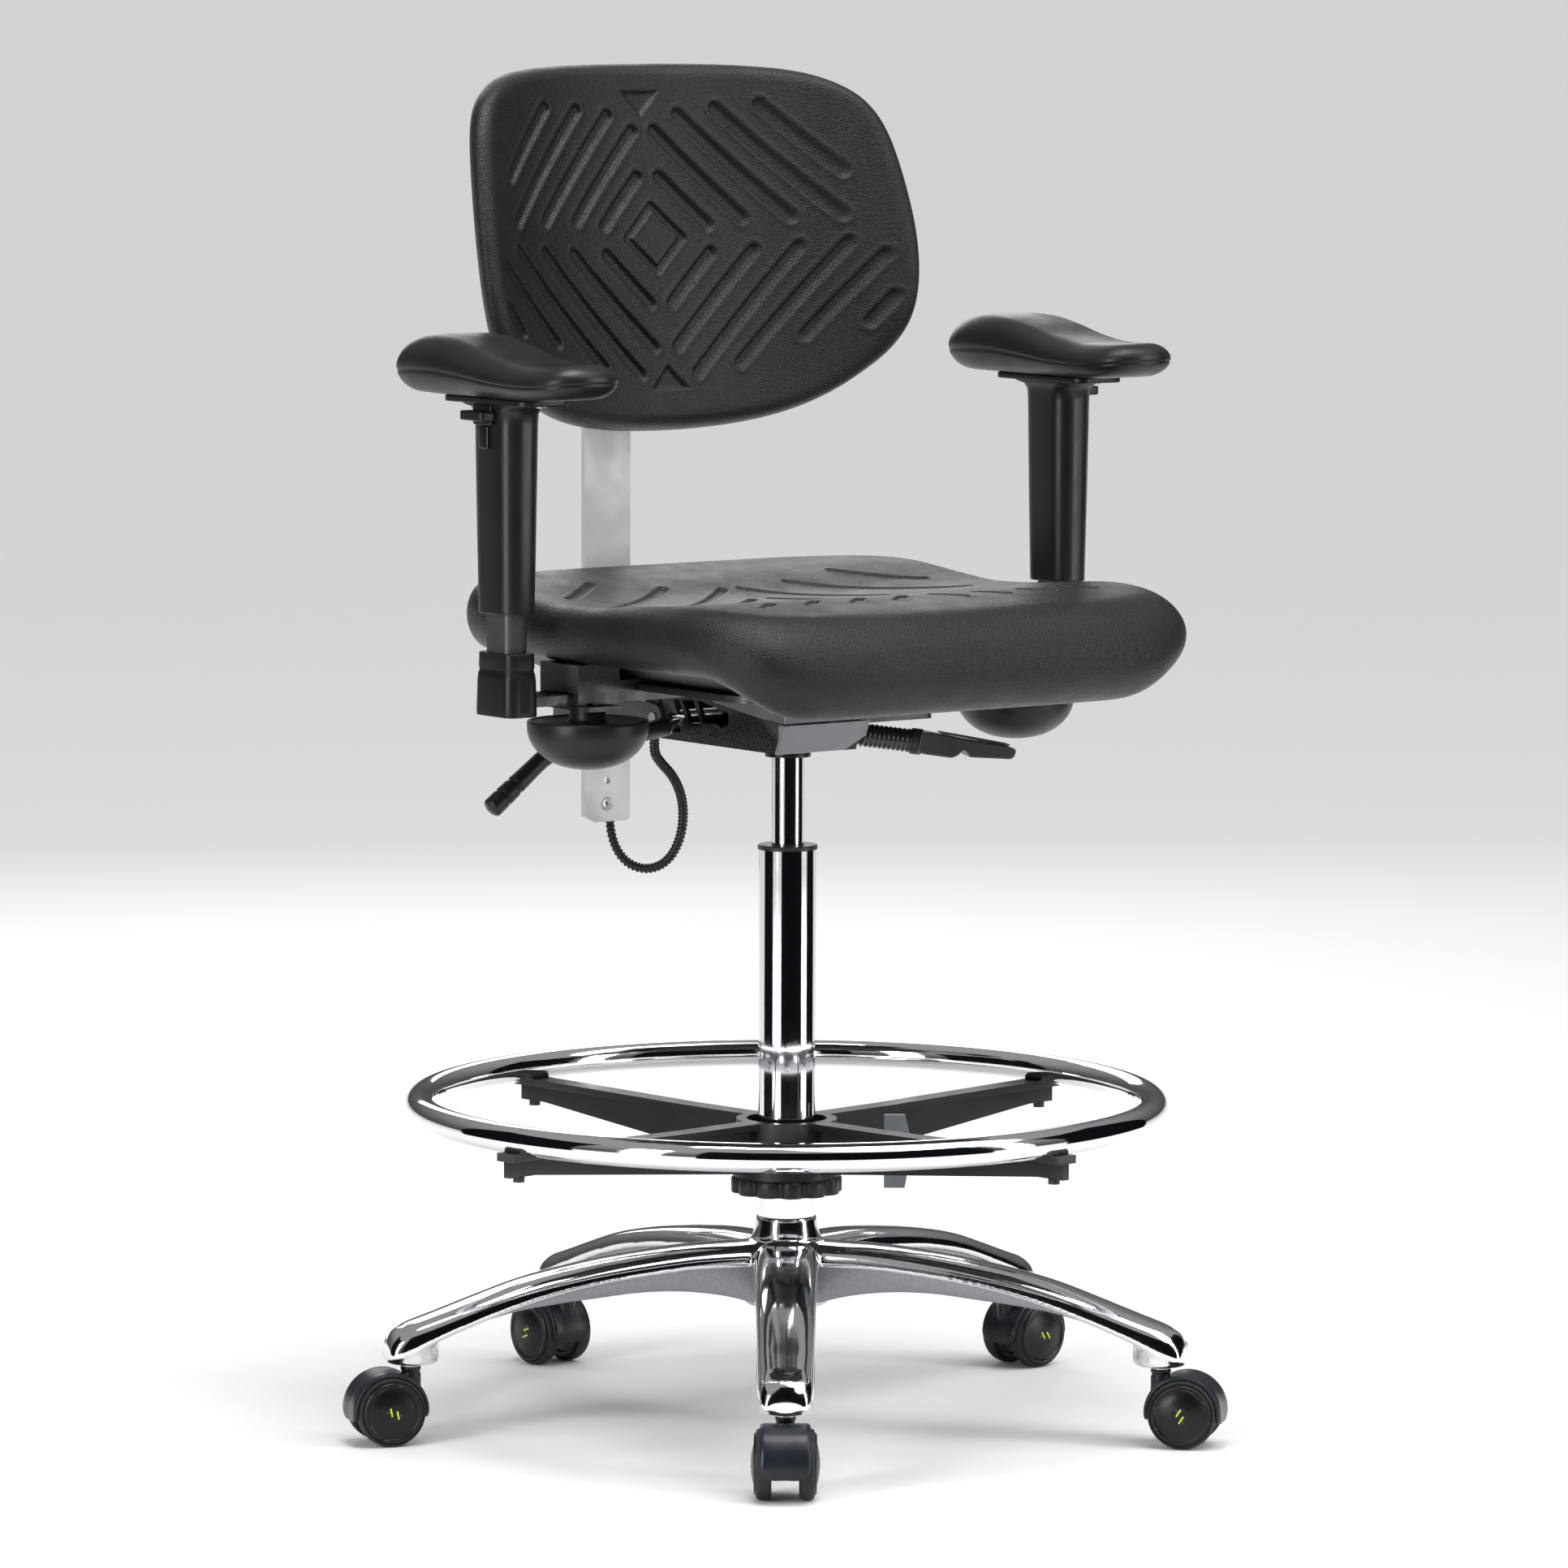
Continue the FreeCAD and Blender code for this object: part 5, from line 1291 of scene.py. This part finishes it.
def make_socket(angle, material):
    outer = 0.0232
    socket = lathe(
        "socket",
        rounded(
            [(AXIS, 0.0692), (outer - 0.0012, 0.0692), (outer, 0.0720), (outer, 0.0850),
             (outer - 0.004, 0.0960), (0.0120, 0.1010), (AXIS, 0.1015)],
            0.0030,
        ),
        material,
        64,
    )
    turn = Matrix.Rotation(angle, 4, "Z") @ Matrix.Translation((SOCKET_REACH, 0, 0))
    return place_mesh(socket, turn)


def make_web(angle, material):
    sections = []
    for reach in np.linspace(0.026, 0.296, 36):
        low = float(curve_value(WEB_STATIONS, WEB_LOW, reach))
        top = float(curve_value(LEG_STATIONS, LEG_LOW, reach)) + 0.004
        half = float(curve_value(LEG_STATIONS, LEG_HALF, reach)) - 0.0048
        low = min(low, top - 0.002)
        rib = [
            (half, top), (half - 0.0006, low + 0.0015), (half - 0.0020, low), (half - 0.0040, low),
            (half - 0.0056, low + 0.0015), (half - 0.0058, top - 0.0025),
        ]
        sections.append([(reach, x, z) for x, z in rib + opposite(rib)])
    web = loft("web", sections, material)
    place_mesh(web, Matrix.Rotation(angle, 4, "Z"))
    smooth_by_angle(web, 50)
    return web


def make_star_base(materials):
    """Polished casting: five domed legs run together at the hub, rough webs under them."""
    solids = []
    for angle in LEG_ANGLES:
        solids.append(make_leg(angle, materials["cast"]))
        solids.append(make_socket(angle, materials["cast"]))
    hub = lathe(
        "hub",
        rounded(
            [(AXIS, 0.1045), (0.0350, 0.1045), (0.0368, 0.1065), (0.0368, 0.1440), (0.0350, 0.1520),
             (0.0315, 0.1600), (0.0288, 0.1680), (0.0272, 0.1760), (0.0264, 0.1840), (AXIS, 0.1840)],
            0.0040,
        ),
        materials["cast"],
        96,
    )
    solids.append(hub)
    shell = join("star_base_casting", solids)
    remesh = shell.modifiers.new("one_skin", "REMESH")
    remesh.mode = "VOXEL"
    remesh.voxel_size = 0.0016
    remesh.use_smooth_shade = True
    ease = shell.modifiers.new("fillets", "SMOOTH")
    ease.factor = 0.5
    ease.iterations = 14
    webs = [make_web(angle, materials["raw"]) for angle in LEG_ANGLES]
    whole = join("star_casting", [shell] + webs)
    finish_piece(whole, "base", "polished_aluminium", "star_base")


# ---------------------------------------------------------------- cable


CABLE_ROUTE = [
    (-34, 150, 592), (-30, 158, 577), (-17, 165, 566), (2, 173, 553), (18, 182, 535),
    (29, 193, 514), (34, 205, 491), (33, 220, 471), (27, 238, 461), (19, 256, 462),
    (14, 271, 472), (12, 281, 490), (13, 284.2, 512), (14, 282.5, 536), (14, 282.5, 558),
]
CABLE_RADIUS = 0.0045


def cable_curve():
    """The cable's centre line as a smooth spline through the frame's own route."""
    curve = bpy.data.curves.new("cable_line", "CURVE")
    curve.dimensions = "3D"
    spline = curve.splines.new("NURBS")
    spline.points.add(len(CABLE_ROUTE) - 1)
    for point, place in zip(spline.points, CABLE_ROUTE):
        point.co = (*as_metres(place), 1)
    spline.order_u = 3
    spline.use_endpoint_u = True
    spline.resolution_u = 40
    return curve


def read_line(curve):
    holder = new_object("cable_reader", curve, None)
    graph = bpy.context.evaluated_depsgraph_get()
    mesh = bpy.data.meshes.new_from_object(holder.evaluated_get(graph))
    line = [v.co.copy() for v in mesh.vertices]
    bpy.data.meshes.remove(mesh)
    bpy.data.objects.remove(holder)
    return line


def spaced(line, step):
    """Points at an even step along a polyline, ends kept."""
    lengths = [0.0]
    for a, b in zip(line, line[1:]):
        lengths.append(lengths[-1] + (b - a).length)
    count = max(2, round(lengths[-1] / step))
    wanted = np.linspace(0, lengths[-1], count + 1)
    columns = [np.interp(wanted, lengths, [p[axis] for p in line]) for axis in range(3)]
    return [Vector(p) for p in zip(*columns)]


def ribbed_tube(name, line, radius, pitch, depth, material, plain_ends=0.004, sides=24):
    """Corrugated conduit: rounded rings at an even pitch."""
    per_ring = 8
    step = pitch / per_ring
    points = spaced(line, step)
    radii = []
    total = len(points) - 1
    for k in range(total + 1):
        wave = 0.5 - 0.5 * math.cos(2 * math.pi * k / per_ring)
        wave = wave**0.6
        edge = min(k, total - k) * step
        fade = float(smoothstep(edge / plain_ends))
        radii.append(radius - depth * wave * fade)
    return tube(name, points, radii, material, sides)


def make_cable(materials):
    line = read_line(cable_curve())
    conduit = ribbed_tube(
        "cable_conduit", line, CABLE_RADIUS, 0.0042, 0.0012, materials["conduit"], sides=22
    )
    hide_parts("control_cable")
    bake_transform(conduit)
    low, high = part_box("cable_gland")
    gland_x, gland_y, _ = centre_of("cable_gland")
    gland = lathe(
        "cable_ferrule",
        rounded(
            [(CABLE_RADIUS + 0.0002, low[2]), (0.0070, low[2]), (0.0076, low[2] + 0.003),
             (0.0076, low[2] + 0.009), (0.0066, low[2] + 0.010), (0.0066, low[2] + 0.012),
             (0.0078, low[2] + 0.013), (0.0078, high[2] - 0.001), (0.0070, high[2]), (AXIS, high[2])],
            0.0006,
        ),
        materials["black"],
        48,
    )
    place_mesh(gland, Matrix.Translation((gland_x, gland_y, 0)))
    finish_piece(gland, "back_support", "black_plastic", "cable_gland")


# ---------------------------------------------------------------- levers


def along(start, end, share):
    return start + (end - start) * share


def make_height_lever(materials):
    """Height lever: socket, glossy coil neck and a paddle with a notched grip."""
    root = Vector((0.036, -0.0335, 0.606))
    plan = Vector((math.cos(math.radians(22)), -math.sin(math.radians(22)), 0))
    drop = math.radians(8)
    direction = plan * math.cos(drop) + Vector((0, 0, -math.sin(drop)))
    across = Vector((0, 0, 1)).cross(plan)
    rise = direction.cross(across).normalized()
    if rise.z < 0:
        rise.negate()
    turn = Matrix((direction, across, rise)).transposed().to_4x4()
    place = Matrix.Translation(root) @ turn
    coil = ribbed_tube(
        "coil", [Vector((0.0155, 0, 0)), Vector((0.067, 0, 0))], 0.0105, 0.0042, 0.0009,
        materials["gloss"], 0.0004, 28,
    )
    cap = tube(
        "cap",
        [Vector((x, 0, 0)) for x in (0.008, 0.0095, 0.016, 0.0175)],
        [0.0074, 0.0084, 0.0084, 0.0076],
        materials["black"],
        32,
    )
    neck = join("height_lever_coil", [coil, cap])
    place_mesh(neck, place)
    smooth_by_angle(neck, 60)
    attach(neck, "height_lever")
    side = [
        (0.0640, -0.0080), (0.0700, -0.0096), (0.0960, -0.0100), (0.1015, -0.0070), (0.1050, -0.0022),
        (0.1085, -0.0028), (0.1115, -0.0075), (0.1495, -0.0048), (0.1522, -0.0020), (0.1530, 0.0040),
        (0.1490, 0.0056), (0.1100, 0.0072), (0.0740, 0.0100), (0.0660, 0.0094),
    ]
    side = rounded(side + [side[0]], 0.0022)[:-1]
    blade = slab("blade", side, -0.0130, 0.0130, materials["lever"], 0.0016)
    place_mesh(blade, UPRIGHT)
    tray = slab(
        "tray",
        rounded(
            [(0.088, -0.0098), (0.1455, -0.0098), (0.1485, -0.0070), (0.1485, 0.0070), (0.1455, 0.0098),
             (0.088, 0.0098), (0.085, 0.0070), (0.085, -0.0070), (0.088, -0.0098)],
            0.002,
        )[:-1],
        0.0, 0.0014, materials["lever"], 0.0006,
    )
    place_mesh(tray, Matrix.Translation((0, 0, 0.0150)) @ Matrix.Rotation(math.radians(3.4), 4, "Y"))
    collar = tube(
        "collar",
        [Vector((x, 0, 0)) for x in (0.0600, 0.0612, 0.0690, 0.0705)],
        [0.0104, 0.0114, 0.0114, 0.0104],
        materials["black"],
        32,
    )
    paddle = join("height_paddle", [blade, tray, collar])
    place_mesh(paddle, place)
    finish_piece(paddle, "height_lever", "lever_plastic", "height_lever_paddle")


def make_back_lever(materials):
    """Back lever: a coil sleeve over its rod and an angled grip with a grooved end."""
    start = Vector((-0.050, 0.110, 0.6046))
    end = Vector((-0.168, 0.110, 0.5881))
    coil = ribbed_tube(
        "coil", [along(start, end, 0.50), end], 0.0090, 0.0042, 0.0009, materials["gloss"], 0.0004, 26
    )
    sleeve = tube(
        "sleeve",
        [along(start, end, share) for share in (0.005, 0.012, 0.49, 0.505)],
        [0.0078, 0.0083, 0.0083, 0.0079],
        materials["black"],
        26,
    )
    arm = join("back_lever_sleeve", [coil, sleeve])
    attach(arm, "back_lever")
    route = [
        Vector((-0.1665, 0.110, 0.5883)), Vector((-0.176, 0.110, 0.5872)), Vector((-0.184, 0.110, 0.5830)),
        Vector((-0.192, 0.110, 0.5772)), Vector((-0.235, 0.110, 0.545)), Vector((-0.2385, 0.110, 0.5424)),
    ]
    step = 0.0012
    tip_length = 0.004
    points = spaced(route, step)
    total = len(points) - 1
    radii = []
    for k in range(total + 1):
        share = k / total
        radius = 0.0078 + 0.0012 * float(smoothstep((share - 0.25) / 0.6))
        if 0.60 < share < 0.64 or 0.78 < share < 0.81:
            radius -= 0.0007
        tip = (1 - share) * total * step
        if tip < tip_length:
            radius *= math.sqrt(max(0.02, 1 - (1 - tip / tip_length) ** 2))
        if k < 2:
            radius -= 0.0010 * (2 - k)
        radii.append(radius)
    grip = tube("back_grip", points, radii, materials["black"], 36)
    finish_piece(grip, "back_lever", "lever_plastic", "back_lever_grip")


# ---------------------------------------------------------------- foot-ring clamp and knob


GRIP_LOBES = 12
GRIP_LOBE_DEPTH = 0.0046
GRIP_SAMPLES = 240
GRIP_BORE = 0.0262
# Each row: height above the nut's foot and inset of the outline.
GRIP_LEVELS = [
    (0.0, 0.0016), (0.0004, 0.0006), (0.0014, 0.0), (0.0118, 0.0), (0.0134, 0.0006), (0.0145, 0.0018),
]


def lobed_ring(outer, inset, z):
    """Level ring of the clamp nut's lobed outline."""
    ring = []
    for angle in steps_round(GRIP_SAMPLES):
        valley = 0.5 - 0.5 * math.cos(GRIP_LOBES * angle)
        ring.append((*around(outer - inset - GRIP_LOBE_DEPTH * valley**2.2, angle), z))
    return ring


def make_ring_grip(materials):
    """Lobed clamp nut with eased top and foot rims and a plain bore."""
    low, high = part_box("ring_grip")
    black = materials["black"]
    rings = [lobed_ring(high[0], inset, low[2] + rise) for rise, inset in GRIP_LEVELS]
    parts = [loft("nut", rings, black, closed_ends=False)]
    for outer_ring in (rings[0], rings[-1]):
        z = outer_ring[0][2]
        inner_ring = [(*around(GRIP_BORE, angle), z) for angle in steps_round(GRIP_SAMPLES)]
        faces = []
        add_ring(faces, list(range(GRIP_SAMPLES)), GRIP_SAMPLES)
        parts.append(mesh_object("cap", outer_ring + inner_ring, faces, black))
    parts.append(
        lathe("bore", [(GRIP_BORE, low[2]), (GRIP_BORE, low[2] + GRIP_LEVELS[-1][0])], black, GRIP_SAMPLES)
    )
    whole = join("clamp_nut", parts)
    weld(whole, 1e-5)
    smooth_by_angle(whole, 35)
    finish_piece(whole, "ring_grip", "black_plastic", "ring_grip")


# ---------------------------------------------------------------- finishes on the frame's own parts


DRESS_ANGLE = 30


def dress(node, material, width=0.0, segments=3):
    """The frame's own part kept as it is, with rounded edges and its finish."""
    obj = frame["nodes"][node]
    obj.data.materials.clear()
    obj.data.materials.append(material)
    if width:
        bevel(obj, width, segments, DRESS_ANGLE)


# Each row: node, finish, edge width and, where it isn't 3, the number of edge segments.
DRESSING = [
    ("column_tube", "chrome", 0.0006), ("column_bush", "black", 0.0006), ("thrust_bearing", "steel"),
    ("caster_stems", "steel", 0.0004), ("piston_rod", "rod", 0.0006), ("gas_cylinder", "rod", 0.0008),
    ("valve_pin", "steel", 0.0003), ("mechanism_body", "channel", 0.0009),
    ("mechanism_cover", "casting", 0.0016), ("pivot_pins", "steel", 0.0006),
    ("lever_pins", "steel", 0.0004), ("seat_carrier", "casting", 0.0016),
    ("seat_plate", "black_paint", 0.0010), ("seat_bolts", "steel", 0.0003),
    ("back_bracket", "black_paint", 0.0010), ("back_bar", "bar", 0.0007),
    ("back_screws", "steel", 0.0003), ("foot_ring", "chrome"), ("ring_spider", "black", 0.0009),
    ("ring_screws", "black_paint", 0.0003), ("height_lever", "steel", 0.0003),
    ("tilt_lever", "black_paint", 0.0008), ("back_lever", "steel", 0.0004),
    ("ring_lock_knob", "grey", 0.0014, 4), ("arm_rail_left", "black_paint", 0.0010),
    ("arm_rail_right", "black_paint", 0.0010),
]


def dress_frame(materials):
    for node, finish, *edge in DRESSING:
        dress(node, materials[finish], *edge)
    for name in ("column_tube", "piston_rod", "gas_cylinder", "foot_ring"):
        smooth_by_angle(frame["nodes"][name], 35)


def shell_front(x, y):
    return back_rear(x, y) - 0.0004


def shell_rear(x, y):
    """Rear face of the shell, with two stiffening ribs."""
    ribs = np.abs(np.abs(x) - 0.062) + 10 * np.maximum(np.abs(y) - 0.085, 0)
    return back_rear(x, y) - 0.0050 - 0.0009 * smoothstep((0.005 - ribs) / 0.003)


def bar_guide(materials):
    """Sleeve on the shell that the flat bar slides through: root, two cheeks and a cap."""
    low = 0.930
    high = 1.050
    edge = 0.003
    slot_front = 0.2688
    slot_rear = 0.2752
    slot_half = 0.0257
    half = 0.034
    rear = 0.282
    root = []
    for z, inset in ((low, edge), (low + edge, 0), (high - edge, 0), (high, edge)):
        start = 0.2402 + (z - BACK_BASE.z) * math.tan(BACK_LEAN)
        root.append(
            round_box(half - inset, (slot_front - start) / 2, 0.003, z, (0, (start + slot_front) / 2))
        )
    pieces = [loft("root", root, materials["black"])]
    cheek = ((half - slot_half) / 2, (rear - slot_front + edge) / 2, 0.0016)
    for sx in (-1, 1):
        pieces.append(
            box_loft(
                "cheek",
                edge_rounded([(*cheek, z) for z in (low, high)], 0.0014),
                materials["black"],
                (sx * (half + slot_half) / 2, (rear + slot_front - edge) / 2),
            )
        )
    pieces.append(
        box_loft(
            "cap",
            edge_rounded(
                [(half, (rear - slot_rear) / 2, 0.003, z) for z in (low + 0.001, high - 0.001)], 0.0016
            ),
            materials["black"],
            (0, (rear + slot_rear) / 2),
        )
    )
    for rise in (0.018, 0.040, 0.062, 0.084):
        rib = box_loft(
            "rib",
            edge_rounded([(0.022, 0.0012, 0.0010, z) for z in (low + rise, low + rise + 0.012)], 0.0008),
            materials["black"],
            (0, rear),
        )
        pieces.append(rib)
    return pieces


def make_back_shell(materials):
    """Moulded shell behind the foam, with the sleeve that rides on the bar."""
    low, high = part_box("back_shell")
    half_width, _, rise = (high - low) / 2
    half_height = rise / math.cos(BACK_LEAN)
    points = [
        (0.30, 1.00), (0.62, 0.99), (0.86, 0.93), (0.975, 0.70), (1.00, 0.35), (1.00, 0.0), (0.985, -0.35),
        (0.90, -0.70), (0.68, -0.92), (0.34, -0.995),
    ]
    half = [(x * half_width * 1.015, y * half_height * 0.96) for x, y in points]
    outline = Outline(half + opposite(half))
    shell = foam_mesh(
        "back_shell_moulding", outline, shell_front, shell_rear,
        even_rim(0.0026), (200, 150), 10, materials["black"],
    )
    place_mesh(shell, BACK_PLACE)
    whole = join("back_shell_moulding", [shell] + bar_guide(materials))
    finish_piece(whole, "back", "black_plastic", "back_shell")


make_camera()
make_studio()
MATERIALS = make_materials()
make_seat(MATERIALS)
make_back(MATERIALS)
make_back_shell(MATERIALS)
make_star_base(MATERIALS)
make_casters(MATERIALS)
make_cable(MATERIALS)
make_height_lever(MATERIALS)
make_back_lever(MATERIALS)
make_ring_grip(MATERIALS)
for arm_side in SIDES:
    make_pad(arm_side, MATERIALS)
    make_sleeve(arm_side, MATERIALS)
    make_boot(arm_side, MATERIALS)
    make_width_knob(arm_side, MATERIALS)
dress_frame(MATERIALS)
